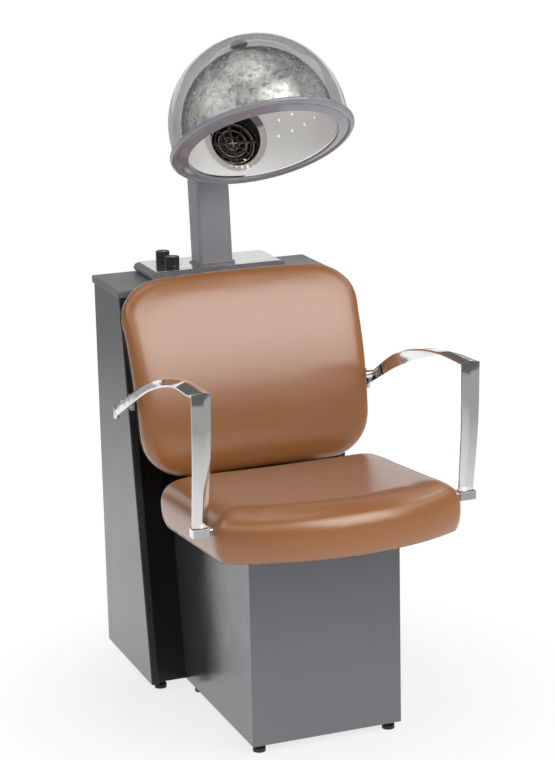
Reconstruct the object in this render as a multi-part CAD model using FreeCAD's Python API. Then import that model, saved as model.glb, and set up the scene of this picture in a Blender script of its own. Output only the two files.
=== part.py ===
import FreeCAD, Part
import math
import os

# Hooded dryer chair: a slant-fronted cabinet with a lean-back column and a
# double-walled drying hood, and an upholstered seat with chromed arms on a
# box base in front of it.
# Millimetres, +Z up, the sitter faces -Y.  The origin is on the floor, at
# the middle of the footprint.

V = FreeCAD.Vector
X_AXIS = V(1, 0, 0)
Y_AXIS = V(0, 1, 0)
Z_AXIS = V(0, 0, 1)

# --------------------------------------------------------------- clearances
running_gap = 0.05      # shaft or tube in its own bearing, per side
pass_gap = 1.0          # fixed piece through a cut-out
side_gap = 0.5          # moving face beside a fixed one
soft_gap = 0.4          # soft face beside a hard one

# ------------------------------------------------------------------ cabinet
foot_height = 19.0
foot_radius = 14.0
foot_stem_radius = 8.0
foot_pad_height = 9.0
foot_inset = 30.0
board_thickness = 18.0
cabinet_width = 520.0
cabinet_top = 902.0
cabinet_top_depth = 190.0
cabinet_bottom_depth = 329.0
edge_moulding_thickness = 4.0
edge_moulding_radius = 3.0
front_panel_thickness = 16.0
front_panel_recess = 8.0
back_panel_thickness = 10.0
back_panel_recess = 4.0
lid_width = 530.0
lid_depth = 197.0
lid_thickness = 16.0
lid_edge_radius = 3.0
grommet_radius = 9.0
grommet_bore_radius = 5.0
grommet_flange = 3.0
grommet_flange_thickness = 2.0
grommet_x = 180.0
grommet_z = 110.0
screw_head_radius = 4.0
screw_head_height = 2.0
screw_edge_distance = 24.0

# ------------------------------------------------------------------ console
console_width = 328.0
console_height = 20.0
console_back_gap = 4.0
console_depth = 134.0
console_wall = 2.5
plate_thickness = 2.0
plate_end_inset = 12.0
knob_radius = 16.0
knob_height = 24.0
knob_base_gap = 1.0
knob_edge_radius = 1.5
knob_flutes = 18
knob_flute_radius = 1.4
knob_end_distance = 65.0
timer_knob_ahead = 26.0
heat_knob_ahead = 96.0
control_size = 34.0
control_depth = 30.0
control_shaft_radius = 3.0
control_shaft_length = 18.0

# ------------------------------------------------------------------- column
column_lean = 4.5           # degrees, top towards the back
column_width = 80.0
column_depth = 70.0
column_corner = 8.0
column_wall = 2.5
column_ahead = 91.0         # axis, ahead of the cabinet's back, at the console top
column_buried_length = 360.0        # length under the console top
column_exposed_length = 292.0        # length over the console top
collar_wall = 4.0
collar_lip = 2.0
collar_height = 5.0
collar_length = 70.0
guide_wall = 3.0
guide_length = 205.0
guide_flange_width = 24.0
guide_flange_thickness = 3.0
lower_bush_height = 40.0
guide_rail_height = 30.0
guide_rail_wall = 3.0

# --------------------------------------------------------------- hood hinge
hinge_forward_length = 90.0        # ahead of the column axis
hinge_height = 251.0        # over the console top, along the column
hinge_pin_radius = 6.0
hinge_boss_radius = 17.0
yoke_cheek = 12.0
yoke_gap = 44.0
yoke_cap_thickness = 6.0
yoke_front_thickness = 6.0
yoke_front_height = 80.0
yoke_plug_length = 60.0
pin_head_height = 3.0
pin_head_radius = 9.0

# --------------------------------------------------------------------- hood
hood_tilt = 34.0            # degrees, opening turned up towards the sitter
outer_dome_radius = 194.5
outer_dome_wall = 3.0
inner_dome_radius = 166.0
inner_dome_wall = 1.5
dome_skirt = 50.0           # straight wall under the half-sphere
rim_radius = 204.5
rim_lip_drop = 9.0          # inner lip under the domes' feet
rim_lip_width = 4.0
rim_bead_thickness = 10.0
rim_bead_height = 12.0
dome_foot = 4.0             # where both domes stand on the rim
perforation_radius = 3.2
perforation_pitch = 34.0
perforation_first_ring = 22.0     # degrees from the crown
perforation_last_ring = 88.0
cap_radius = 20.0
cap_thickness = 3.0
port_radius = 61.0
port_height = 86.0          # port axis over the rim
port_ring_width = 11.0
port_ring_thickness = 2.0
housing_wall = 2.5
housing_step = 3.0
housing_front_gap = 2.0
housing_depth = 44.0
housing_edge_radius = 8.0
intake_slots = 12
intake_slot_width = 6.0
intake_slot_inner = 34.0
intake_slot_outer = 52.0
hinge_behind_housing = 28.0
hinge_over_port = 14.0
knuckle_flange = 60.0
knuckle_flange_thickness = 5.0
motor_radius = 27.0
motor_length = 30.0
motor_shaft_radius = 3.0
impeller_radius = 52.0
impeller_hub_radius = 14.0
impeller_width = 14.0
impeller_blades = 7
impeller_blade_thickness = 2.0
impeller_root_pitch = 62.0  # degrees
impeller_tip_pitch = 30.0   # degrees
fan_gap = 4.0
guard_thickness = 3.0
guard_bar = 3.0
guard_rings = 4
guard_spokes = 8
heater_thickness = 8.0
heater_bands = 3
heater_band_width = 4.0
mica_thickness = 2.0

# --------------------------------------------------------------------- base
base_width = 348.0
base_front_reach = 313.0    # front panel ahead of the seat's rear edge
base_edge_radius = 1.5
base_foot_inset = 22.0

# --------------------------------------------------------------------- seat
seat_tilt = 5.0             # degrees, front edge up
seat_back_gap = 53.8        # seat's rear edge ahead of the backrest's foot
seat_rear_height = 441.0
seat_depth = 509.0
seat_rear_half = 272.0
seat_front_half = 282.0
seat_rear_corner = 45.0
seat_front_corner = 42.0
seat_front_radius = 470.0
seat_thickness = 99.0
seat_crown = 5.0
seat_top_inset = 25.0
seat_crown_inset = 37.0
# Roll of the pad's side, from the underside up: inset and share of the thickness.
seat_side_levels = [(14.0, 0.0), (3.0, 0.2), (0.0, 0.5), (2.0, 0.72), (10.0, 0.88),
                    (seat_top_inset, 1.0)]
frame_inset = 14.0
frame_board = 15.0
frame_rail_width = 18.0
frame_rail_height = 82.0

# ----------------------------------------------------------------- backrest
back_radius = 760.0         # profile radius, bulging to the front
back_vertical_height = 520.0
back_lid_gap = 7.5
back_bottom = 520.0
back_top = 956.0
back_top_crown = 5.0
back_top_half = 284.0
back_bottom_half = 268.0
back_top_corner = 105.0
back_block_reach = 260.0
back_bottom_corner = 100.0
back_cushion_thickness = 38.0
back_cushion_edge_radius = 17.0
welt_thickness = 4.0
welt_proud = 1.0
back_board_thickness = 12.0
back_board_inset = 22.0
back_shell_thickness = 16.0
back_shell_edge_radius = 7.0
back_shell_inset = 1.5
upright_x = 110.0
upright_width = 40.0
upright_thickness = 6.0
upright_top = 700.0
upright_leg_reach = 120.0   # leg's end ahead of the seat's rear edge

# --------------------------------------------------------------------- arms
arm_edge_thickness = 4.0
arm_ridge_height = 5.0
arm_ridge_offset = 0.09     # of the width, towards the sitter
arm_foot_height = 550.0
arm_foot_reach = 375.0      # foot bracket ahead of the seat's rear edge
arm_foot_half = 301.0
arm_block_width = 38.0
arm_block_depth = 26.0
arm_block_height = 18.0
arm_block_edge_radius = 2.5
arm_spigot_radius = 7.0
arm_plate_height = 692.0
arm_plate_size = 34.0
arm_plate_depth = 20.0
arm_plate_thickness = 8.0
arm_plate_gap = 1.2
arm_stud_radius = 3.5
arm_boss_radius = 9.0
arm_tip_radius = 6.5
arm_tip_length = 28.0

# Stations of the arm's band, from the rear tip to the front corner: distance
# from the middle, distance ahead of the seat's rear edge, height, width, and
# the twist from facing sideways (0 degrees) to facing up (90 degrees).
arm_rail_stations = [
    (306.0, -157.0, 664.0, 20.0, 0.0),
    (304.0, -108.0, 691.0, 21.0, 5.0),
    (302.0, -55.0, 719.0, 24.0, 15.0),
    (300.0, 10.0, 752.0, 28.0, 32.0),
    (299.5, 100.0, 788.0, 34.0, 52.0),
    (299.5, 200.0, 817.0, 37.0, 70.0),
    (299.5, 310.0, 835.0, 40.0, 84.0),
    (299.5, 402.0, 838.0, 41.0, 90.0),
]
# Stations of the arm's post, from the front corner down: distance from the
# middle, distance ahead of the seat's rear edge, height and width.
arm_post_stations = [
    (300.0, 400.0, 760.0, 40.0),
    (300.5, 394.0, 680.0, 38.0),
    (301.0, 384.0, 610.0, 35.5),
    (301.0, 374.0, 540.0, 33.0),
]

# ------------------------------------------------------------ derived places
lid_top = cabinet_top + lid_thickness
console_body_top = lid_top + console_height
console_top = console_body_top + plate_thickness
knob_x = knob_end_distance - console_width / 2
seat_sine = math.sin(math.radians(seat_tilt))
seat_cosine = math.cos(math.radians(seat_tilt))
seat_widest_height = 0.5 * seat_thickness
cabinet_half = cabinet_width / 2
inner_half = cabinet_half - board_thickness
base_half = base_width / 2
base_inner_half = base_half - board_thickness
front_slope = (cabinet_bottom_depth - cabinet_top_depth) / (cabinet_top - foot_height)
collar_width = column_width + 2 * (running_gap + collar_wall)
collar_depth = column_depth + 2 * (running_gap + collar_wall)
collar_corner = column_corner + collar_wall
guide_width = collar_width + 2 * guide_wall
guide_depth = collar_depth + 2 * guide_wall
housing_front = outer_dome_radius + housing_front_gap
housing_back = housing_front + housing_depth
housing_radius = port_radius + housing_step
hinge_local_y = housing_back + hinge_behind_housing
hinge_local_z = port_height + hinge_over_port
board_front_radius = back_radius - back_cushion_thickness
board_rear_radius = board_front_radius - back_board_thickness
shell_front_radius = board_front_radius - welt_thickness
shell_rear_radius = shell_front_radius - back_shell_thickness
back_axis_ahead = lid_depth + back_lid_gap - math.sqrt(
    shell_rear_radius ** 2 - (lid_top - back_vertical_height) ** 2)
back_front_ahead = back_axis_ahead + back_radius
seat_rear_ahead = back_front_ahead + seat_back_gap
base_front_ahead = seat_rear_ahead + base_front_reach
upright_leg_ahead = seat_rear_ahead + upright_leg_reach
arm_foot_ahead = seat_rear_ahead + arm_foot_reach
seat_front_ahead = seat_rear_ahead + seat_depth * seat_cosine - seat_widest_height * seat_sine
cabinet_back_y = seat_front_ahead / 2


def ahead(distance):
    """Y of a point this far ahead of the cabinet's back."""
    return cabinet_back_y - distance


def from_seat(distance):
    """Y of a point this far ahead of the seat's rear edge."""
    return ahead(seat_rear_ahead + distance)


# ------------------------------------------------------------------ helpers
def box(x0, x1, y0, y1, z0, z1):
    return Part.makeBox(x1 - x0, y1 - y0, z1 - z0, V(x0, y0, z0))


def cylinder(centre, axis, radius, length):
    return Part.makeCylinder(radius, length, centre, axis)


def prism_x(points, x0, x1):
    """Extrude a polygon of (y, z) points from x0 to x1."""
    corners = [V(x0, y, z) for y, z in points]
    wire = Part.makePolygon(corners + corners[:1])
    return Part.Face(wire).extrude(V(x1 - x0, 0, 0))


def rounded_bar(width, depth, corner, z0, z1):
    """Upright rectangular bar with rounded corners, centred on the Z axis."""
    bar = box(-width / 2, width / 2, -depth / 2, depth / 2, z0, z1)
    upright = [e for e in bar.Edges if abs(e.tangentAt(e.FirstParameter).z) > 0.9]
    return bar.makeFillet(corner, upright)


def mirrored(shape):
    return shape.mirror(V(0, 0, 0), X_AXIS)


def both_sides(shape):
    return Part.makeCompound([shape, mirrored(shape)])


def fused(shapes):
    return shapes[0].fuse(shapes[1:]).removeSplitter()


def placed(shape, degrees, origin):
    """Turn a shape about the X axis, top to the back, then move it."""
    copy = shape.copy()
    copy.rotate(V(0, 0, 0), X_AXIS, -degrees)
    copy.translate(origin)
    return copy


def on_column(shape):
    return placed(shape, column_lean, V(0, ahead(column_ahead), console_top))


def column_point(y, z):
    lean = math.radians(column_lean)
    return V(0, ahead(column_ahead) + y * math.cos(lean) + z * math.sin(lean),
             console_top - y * math.sin(lean) + z * math.cos(lean))


hinge_point = column_point(-hinge_forward_length, hinge_height)


def on_hood(shape):
    tilt = math.radians(hood_tilt)
    reach = hinge_local_y * math.cos(tilt) + hinge_local_z * math.sin(tilt)
    rise = hinge_local_z * math.cos(tilt) - hinge_local_y * math.sin(tilt)
    return placed(shape, hood_tilt, hinge_point - V(0, reach, rise))


def on_seat(shape):
    return placed(shape, seat_tilt, V(0, ahead(seat_rear_ahead), seat_rear_height))


def seat_underside(distance):
    """Height of the seat board's underside at a distance ahead."""
    return seat_rear_height + (distance - seat_rear_ahead) * seat_sine / seat_cosine


def cabinet_front(z):
    """Distance ahead of the side boards' front edge at a height."""
    return cabinet_bottom_depth - edge_moulding_thickness - (z - foot_height) * front_slope


# ------------------------------------------------------------------ cabinet
def cabinet_side():
    points = [(ahead(0), foot_height), (ahead(cabinet_front(foot_height)), foot_height),
              (ahead(cabinet_front(cabinet_top)), cabinet_top), (ahead(0), cabinet_top)]
    return prism_x(points, -cabinet_half, -inner_half)


def cabinet_edge_moulding():
    low, high = cabinet_front(foot_height), cabinet_front(cabinet_top)
    points = [(ahead(low), foot_height), (ahead(low + edge_moulding_thickness), foot_height),
              (ahead(high + edge_moulding_thickness), cabinet_top), (ahead(high), cabinet_top)]
    strip = prism_x(points, -cabinet_half, -inner_half)
    middle_ahead = (low + high) / 2 + edge_moulding_thickness / 2
    long_front = []
    for edge in strip.Edges:
        direction = edge.tangentAt(edge.FirstParameter)
        centre = edge.CenterOfMass
        if abs(direction.z) > 0.9 and centre.y < ahead(middle_ahead):
            long_front.append(edge)
    return strip.makeFillet(edge_moulding_radius, long_front)


def cabinet_front_panel():
    points = []
    for z in (foot_height, cabinet_top):
        points.append((ahead(cabinet_front(z) - front_panel_recess), z))
    for z in (cabinet_top, foot_height):
        points.append((ahead(cabinet_front(z) - front_panel_recess - front_panel_thickness), z))
    return prism_x(points, -inner_half, inner_half)


def cabinet_back_panel():
    front = back_panel_recess + back_panel_thickness
    panel = box(-inner_half, inner_half, ahead(front), ahead(back_panel_recess),
                foot_height, cabinet_top)
    hole = cylinder(V(grommet_x, ahead(front + pass_gap), grommet_z), Y_AXIS,
                    grommet_radius, back_panel_thickness + 2 * pass_gap)
    return panel.cut(hole)


def cord_grommet():
    inner_face = back_panel_recess + back_panel_thickness
    sleeve = cylinder(V(grommet_x, ahead(inner_face), grommet_z), Y_AXIS,
                      grommet_radius, back_panel_thickness)
    flange_radius = grommet_radius + grommet_flange
    outside = cylinder(V(grommet_x, ahead(back_panel_recess), grommet_z), Y_AXIS,
                       flange_radius, grommet_flange_thickness)
    inside = cylinder(V(grommet_x, ahead(inner_face + grommet_flange_thickness), grommet_z),
                      Y_AXIS, flange_radius, grommet_flange_thickness)
    body = fused([sleeve, outside, inside])
    bore_start = inner_face + 2 * grommet_flange_thickness
    bore = cylinder(V(grommet_x, ahead(bore_start), grommet_z), Y_AXIS,
                    grommet_bore_radius, bore_start)
    return body.cut(bore)


def cabinet_bottom():
    low, high = foot_height, foot_height + board_thickness
    rear = back_panel_recess + back_panel_thickness
    inset = front_panel_recess + front_panel_thickness
    points = [(ahead(rear), low), (ahead(cabinet_front(low) - inset), low),
              (ahead(cabinet_front(high) - inset), high), (ahead(rear), high)]
    return prism_x(points, -inner_half, inner_half)


def cabinet_lid():
    half = lid_width / 2
    lid = box(-half, half, ahead(lid_depth), ahead(0), cabinet_top, lid_top)
    top_edges = [e for e in lid.Edges if e.BoundBox.ZMin > cabinet_top + lid_thickness / 2
                 and e.CenterOfMass.y < ahead(0) - pass_gap]
    lid = lid.makeFillet(lid_edge_radius, top_edges)
    through = rounded_bar(collar_width, collar_depth, collar_corner,
                          -guide_length, column_exposed_length)
    lid = lid.cut(on_column(through))
    reach = control_size / 2 + pass_gap
    for distance in (timer_knob_ahead, heat_knob_ahead):
        lid = lid.cut(box(knob_x - reach, knob_x + reach, ahead(distance + reach),
                          ahead(distance - reach), cabinet_top, lid_top))
    return lid


def panel_screws():
    heads = []
    for x in (-inner_half + screw_edge_distance, 0, inner_half - screw_edge_distance):
        for z in (foot_height + screw_edge_distance, cabinet_top - screw_edge_distance):
            heads.append(cylinder(V(x, ahead(back_panel_recess), z), Y_AXIS,
                                  screw_head_radius, screw_head_height))
    return Part.makeCompound(heads)


def levelling_foot(x, distance):
    pad = cylinder(V(x, ahead(distance), 0), Z_AXIS, foot_radius, foot_pad_height)
    stem = cylinder(V(x, ahead(distance), 0), Z_AXIS, foot_stem_radius, foot_height)
    return pad.fuse(stem)


def levelling_feet():
    feet = []
    cabinet_x = cabinet_half - foot_inset
    for distance in (foot_inset, cabinet_bottom_depth - foot_inset):
        feet += [levelling_foot(cabinet_x, distance), levelling_foot(-cabinet_x, distance)]
    base_x = base_half - base_foot_inset
    for distance in (cabinet_bottom_depth + foot_inset, base_front_ahead - base_foot_inset):
        feet += [levelling_foot(base_x, distance), levelling_foot(-base_x, distance)]
    return Part.makeCompound(feet)


# ------------------------------------------------------------------ console
def console_profile(inset):
    """Low bar section with half-round ends, in the XZ plane."""
    radius = console_height / 2 - inset
    half = console_width / 2 - console_height / 2
    middle = lid_top + console_height / 2
    back = ahead(console_back_gap)
    left_top, left_low = V(-half, back, middle + radius), V(-half, back, middle - radius)
    right_top, right_low = V(half, back, middle + radius), V(half, back, middle - radius)
    edges = [Part.LineSegment(left_top, right_top).toShape(),
             Part.Arc(right_top, V(half + radius, back, middle), right_low).toShape(),
             Part.LineSegment(right_low, left_low).toShape(),
             Part.Arc(left_low, V(-half - radius, back, middle), left_top).toShape()]
    return Part.Face(Part.Wire(edges))


def console_housing():
    outer = console_profile(0).extrude(V(0, -console_depth, 0))
    inner = console_profile(console_wall).extrude(V(0, -(console_depth - 2 * console_wall), 0))
    inner.translate(V(0, -console_wall, 0))
    open_half = console_width / 2 - console_height / 2
    rear, front = console_back_gap + console_wall, console_back_gap + console_depth - console_wall
    mouth = box(-open_half, open_half, ahead(front), ahead(rear), lid_top,
                lid_top + console_wall)
    housing = outer.cut(inner).cut(mouth)
    through = rounded_bar(collar_width, collar_depth, collar_corner,
                          -guide_length, column_exposed_length)
    housing = housing.cut(on_column(through))
    reach = control_size / 2
    for distance in (timer_knob_ahead, heat_knob_ahead):
        housing = housing.cut(box(knob_x - reach, knob_x + reach, ahead(distance + reach),
                                  ahead(distance - reach), lid_top, console_body_top))
    return housing


def console_plate():
    half = console_width / 2 - plate_end_inset
    plate = box(-half, half, ahead(console_back_gap + console_depth), ahead(console_back_gap),
                console_body_top, console_top)
    through = rounded_bar(collar_width, collar_depth, collar_corner,
                          -guide_length, column_exposed_length)
    plate = plate.cut(on_column(through))
    for distance in (timer_knob_ahead, heat_knob_ahead):
        plate = plate.cut(cylinder(V(knob_x, ahead(distance), console_body_top), Z_AXIS,
                                   control_shaft_radius + pass_gap, plate_thickness))
    return plate


def control_body(distance):
    """Switch body under the plate, with the shaft that carries its knob."""
    reach = control_size / 2
    case = box(knob_x - reach, knob_x + reach, ahead(distance + reach),
               ahead(distance - reach), console_body_top - control_depth, console_body_top)
    shaft = cylinder(V(knob_x, ahead(distance), console_body_top), Z_AXIS,
                     control_shaft_radius, plate_thickness + control_shaft_length)
    return case.fuse(shaft)


def control_knob(distance):
    base = console_top + knob_base_gap
    knob = cylinder(V(knob_x, ahead(distance), base), Z_AXIS, knob_radius, knob_height)
    top_edge = [e for e in knob.Edges if e.BoundBox.ZMin > base + knob_height / 2]
    knob = knob.makeFillet(knob_edge_radius, top_edge)
    for index in range(knob_flutes):
        angle = 2 * math.pi * index / knob_flutes
        centre = V(knob_x + knob_radius * math.cos(angle),
                   ahead(distance) + knob_radius * math.sin(angle), base + knob_height / 4)
        knob = knob.cut(cylinder(centre, Z_AXIS, knob_flute_radius, knob_height))
    socket_depth = control_shaft_length - knob_base_gap + side_gap
    socket = cylinder(V(knob_x, ahead(distance), base), Z_AXIS,
                      control_shaft_radius + running_gap, socket_depth)
    return knob.cut(socket)


# ------------------------------------------------------------------- column
def column_bore(z0, z1):
    """Space of the sliding tube with its running gap."""
    return rounded_bar(column_width + 2 * running_gap, column_depth + 2 * running_gap,
                       column_corner + running_gap, z0, z1)


def column_collar():
    sleeve = rounded_bar(collar_width, collar_depth, collar_corner, -collar_length, 0)
    lip = rounded_bar(collar_width + 2 * collar_lip, collar_depth + 2 * collar_lip,
                      collar_corner + collar_lip, -collar_height, collar_height)
    sleeve = on_column(sleeve.fuse(rounded_bar(collar_width, collar_depth, collar_corner,
                                               0, collar_height)))
    above = box(-console_width, console_width, ahead(lid_depth), ahead(-lid_depth),
                console_top, lid_top + console_width)
    lip = on_column(lip).common(above)
    bore = column_bore(-2 * collar_length, 2 * collar_length)
    return fused([sleeve, lip]).cut(on_column(bore))


def column_guide():
    tube = rounded_bar(guide_width, guide_depth, collar_corner + guide_wall,
                       -guide_length, 0)
    hollow = rounded_bar(collar_width, collar_depth, collar_corner,
                         -2 * guide_length, guide_length)
    below_lid = box(-cabinet_half, cabinet_half, ahead(2 * lid_depth), ahead(-lid_depth),
                    0, cabinet_top)
    sleeve = on_column(tube).common(below_lid)
    reach_x = guide_width / 2 + guide_flange_width
    centre = column_point(0, -(console_top - cabinet_top)).y
    reach_y = guide_depth / 2 + guide_flange_width / 2
    flange = box(-reach_x, reach_x, centre - reach_y, centre + reach_y,
                 cabinet_top - guide_flange_thickness, cabinet_top)
    return fused([sleeve, flange]).cut(on_column(hollow))


def lower_bush():
    sleeve = rounded_bar(collar_width, collar_depth, collar_corner,
                         -guide_length, lower_bush_height - guide_length)
    bore = column_bore(-2 * guide_length, 0)
    return on_column(sleeve.cut(bore))


def guide_rail():
    """Channel across the cabinet that steadies the guide's lower end."""
    guide_foot = column_point(guide_depth / 2, -guide_length)
    rear = back_panel_recess + back_panel_thickness
    top = guide_foot.z + guide_rail_height
    web = box(-inner_half, inner_half, guide_foot.y + pass_gap,
              guide_foot.y + pass_gap + guide_rail_wall, guide_foot.z, top)
    flange = box(-inner_half, inner_half, guide_foot.y + pass_gap, ahead(rear),
                 guide_foot.z, guide_foot.z + guide_rail_wall)
    envelope = rounded_bar(guide_width, guide_depth, collar_corner + guide_wall,
                           -2 * guide_length, 0)
    tongue = box(-guide_width / 2, guide_width / 2, guide_foot.y - guide_rail_height,
                 guide_foot.y + 2 * pass_gap, guide_foot.z, guide_foot.z + guide_rail_wall)
    return fused([web, flange, tongue]).cut(on_column(envelope))


def column_tube():
    outer = rounded_bar(column_width, column_depth, column_corner,
                        -column_buried_length, column_exposed_length)
    inner = rounded_bar(column_width - 2 * column_wall, column_depth - 2 * column_wall,
                        column_corner - column_wall,
                        -column_buried_length, column_exposed_length)
    return on_column(outer.cut(inner))


def yoke_cheek_plate(x0):
    front = -column_depth / 2 - yoke_front_thickness / 2
    top = column_exposed_length
    bottom = column_exposed_length - yoke_front_height
    points = [(front, bottom), (front, top),
              (-hinge_forward_length, hinge_height + hinge_boss_radius),
              (-hinge_forward_length, hinge_height - hinge_boss_radius)]
    plate = prism_x(points, x0, x0 + yoke_cheek)
    boss = cylinder(V(x0, -hinge_forward_length, hinge_height), X_AXIS, hinge_boss_radius, yoke_cheek)
    return plate.fuse(boss)


def hinge_yoke():
    plug = rounded_bar(column_width - 2 * column_wall, column_depth - 2 * column_wall,
                       column_corner - column_wall,
                       column_exposed_length - yoke_plug_length, column_exposed_length)
    cap = rounded_bar(column_width, column_depth, column_corner,
                      column_exposed_length, column_exposed_length + yoke_cap_thickness)
    front = box(-column_width / 2, column_width / 2,
                -column_depth / 2 - yoke_front_thickness, -column_depth / 2,
                column_exposed_length - yoke_front_height, column_exposed_length + yoke_cap_thickness)
    lip = box(-column_width / 2 + column_corner, column_width / 2 - column_corner,
              -column_depth / 2, 0, column_exposed_length, column_exposed_length + yoke_cap_thickness)
    left = yoke_cheek_plate(-yoke_gap / 2 - yoke_cheek)
    right = yoke_cheek_plate(yoke_gap / 2)
    body = fused([plug, cap, front, lip, left, right])
    length = yoke_gap + 2 * yoke_cheek
    bore = cylinder(V(-length / 2, -hinge_forward_length, hinge_height), X_AXIS,
                    hinge_pin_radius, length)
    return on_column(body.cut(bore))


def hinge_pin():
    length = yoke_gap + 2 * yoke_cheek
    pin = cylinder(V(-length / 2, -hinge_forward_length, hinge_height), X_AXIS,
                   hinge_pin_radius, length)
    heads = [cylinder(V(x, -hinge_forward_length, hinge_height), X_AXIS, pin_head_radius, pin_head_height)
             for x in (-length / 2 - pin_head_height, length / 2)]
    return on_column(fused([pin] + heads))


# --------------------------------------------------------------------- hood
def dome_solid(radius):
    """Half-sphere on a straight skirt, standing on the rim."""
    ball = Part.makeSphere(radius, V(0, 0, dome_skirt))
    skirt = cylinder(V(0, 0, dome_foot), Z_AXIS, radius, dome_skirt - dome_foot)
    upper = box(-radius, radius, -radius, radius, dome_skirt, dome_skirt + radius)
    return ball.common(upper).fuse(skirt).removeSplitter()


def port_cylinder(radius, y0, y1):
    return cylinder(V(0, y0, port_height), Y_AXIS, radius, y1 - y0)


def outer_dome():
    shell = dome_solid(outer_dome_radius).cut(dome_solid(outer_dome_radius - outer_dome_wall))
    return on_hood(shell.cut(port_cylinder(port_radius, 0, housing_back)))


def perforations():
    """Drills of the inner dome: rings round the crown, none in the port."""
    drills = []
    pitch_angle = math.degrees(perforation_pitch / inner_dome_radius)
    ring_count = int((perforation_last_ring - perforation_first_ring) / pitch_angle) + 1
    keep_out = port_radius + port_ring_width + 2 * perforation_radius
    for ring in range(ring_count):
        polar = math.radians(perforation_first_ring + ring * pitch_angle)
        girth = 2 * math.pi * inner_dome_radius * math.sin(polar)
        count = max(3, round(girth / perforation_pitch))
        for index in range(count):
            turn = 2 * math.pi * (index + 0.5 * (ring % 2)) / count
            out = V(math.sin(polar) * math.cos(turn), math.sin(polar) * math.sin(turn),
                    math.cos(polar))
            place = V(0, 0, dome_skirt) + out * (inner_dome_radius - 2 * inner_dome_wall)
            off_port = math.hypot(place.x, place.z - port_height)
            if place.y > 0 and off_port < keep_out:
                continue
            drills.append(cylinder(place, out, perforation_radius, 3 * inner_dome_wall))
    return Part.makeCompound(drills)


def inner_dome():
    shell = dome_solid(inner_dome_radius).cut(dome_solid(inner_dome_radius - inner_dome_wall))
    shell = shell.cut(port_cylinder(port_radius, 0, housing_back))
    return on_hood(shell.cut(perforations()))


def rim_ring():
    """Moulded ring under both domes: an inner lip, a face that rises outward
    from it, and a half-round bead."""
    inner = inner_dome_radius - inner_dome_wall
    lip_height = dome_foot - rim_lip_drop
    bead_radius = rim_bead_thickness / 2
    bead_centre = rim_radius - bead_radius
    bead_top = rim_bead_height
    bead_low = bead_top - rim_bead_thickness
    edges = [
        Part.LineSegment(V(inner, 0, dome_foot), V(inner, 0, lip_height)).toShape(),
        Part.LineSegment(V(inner, 0, lip_height), V(inner + rim_lip_width, 0, lip_height)).toShape(),
        Part.LineSegment(V(inner + rim_lip_width, 0, lip_height),
                         V(bead_centre, 0, bead_low)).toShape(),
        Part.Arc(V(bead_centre, 0, bead_low), V(rim_radius, 0, bead_low + bead_radius),
                 V(bead_centre, 0, bead_top)).toShape(),
        Part.LineSegment(V(bead_centre, 0, bead_top), V(outer_dome_radius, 0, bead_top)).toShape(),
        Part.LineSegment(V(outer_dome_radius, 0, bead_top),
                         V(outer_dome_radius, 0, dome_foot)).toShape(),
        Part.LineSegment(V(outer_dome_radius, 0, dome_foot), V(inner, 0, dome_foot)).toShape(),
    ]
    face = Part.Face(Part.Wire(edges))
    return on_hood(face.revolve(V(0, 0, 0), Z_AXIS, 360))


def dome_cap():
    top = dome_skirt + outer_dome_radius
    disc = cylinder(V(0, 0, dome_skirt), Z_AXIS, cap_radius, outer_dome_radius + cap_thickness)
    lens = Part.makeSphere(outer_dome_radius + cap_thickness, V(0, 0, dome_skirt)).common(disc)
    lens = lens.cut(Part.makeSphere(outer_dome_radius, V(0, 0, dome_skirt)))
    upper = box(-cap_radius, cap_radius, -cap_radius, cap_radius,
                top - 2 * cap_radius, top + 2 * cap_thickness)
    return on_hood(lens.common(upper))


def port_ring():
    """Bright flange round the fan port, curved to the dome's inner face."""
    outer = inner_dome_radius - inner_dome_wall
    ball = Part.makeSphere(outer, V(0, 0, dome_skirt))
    hollow = Part.makeSphere(outer - port_ring_thickness, V(0, 0, dome_skirt))
    upper = box(-outer, outer, 0, outer, dome_skirt, dome_skirt + outer)
    wall = ball.cut(hollow).common(upper)
    skirt = cylinder(V(0, 0, dome_foot), Z_AXIS, outer, dome_skirt - dome_foot)
    skirt = skirt.cut(cylinder(V(0, 0, dome_foot), Z_AXIS, outer - port_ring_thickness,
                               dome_skirt - dome_foot))
    front = box(-outer, outer, 0, outer, dome_foot, dome_skirt)
    wall = wall.fuse(skirt.common(front)).removeSplitter()
    ring = port_cylinder(port_radius + port_ring_width, 0, housing_back)
    ring = ring.cut(port_cylinder(port_radius - housing_wall, 0, housing_back))
    return on_hood(wall.common(ring))


def fan_housing():
    """Cup behind the hood: a spout through both domes, a stepped drum with a
    rounded rear edge, and intake slots in its back."""
    drum = port_cylinder(housing_radius, housing_front, housing_back)
    rear_edge = [e for e in drum.Edges if e.BoundBox.YMin > housing_back - housing_wall]
    drum = drum.makeFillet(housing_edge_radius, rear_edge)
    spout = port_cylinder(port_radius, 0, housing_front)
    body = fused([drum, spout])
    hollow = port_cylinder(port_radius - housing_wall, 0, housing_back - housing_wall)
    body = body.cut(hollow).cut(dome_solid(inner_dome_radius - inner_dome_wall))
    slots = []
    for index in range(intake_slots):
        slot = box(-intake_slot_width / 2, intake_slot_width / 2,
                   housing_back - 2 * housing_wall, housing_back + pass_gap,
                   port_height + intake_slot_inner, port_height + intake_slot_outer)
        slot.rotate(V(0, 0, port_height), Y_AXIS, 360.0 * (index + 0.5) / intake_slots)
        slots.append(slot)
    return on_hood(body.cut(Part.makeCompound(slots)))


def fan_motor():
    back = housing_back - housing_wall
    case = port_cylinder(motor_radius, back - motor_length, back)
    bearing = port_cylinder(motor_shaft_radius + running_gap, back - motor_length,
                            back - motor_length / 3)
    return on_hood(case.cut(bearing))


def impeller_rear():
    return housing_back - housing_wall - motor_length - fan_gap


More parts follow.
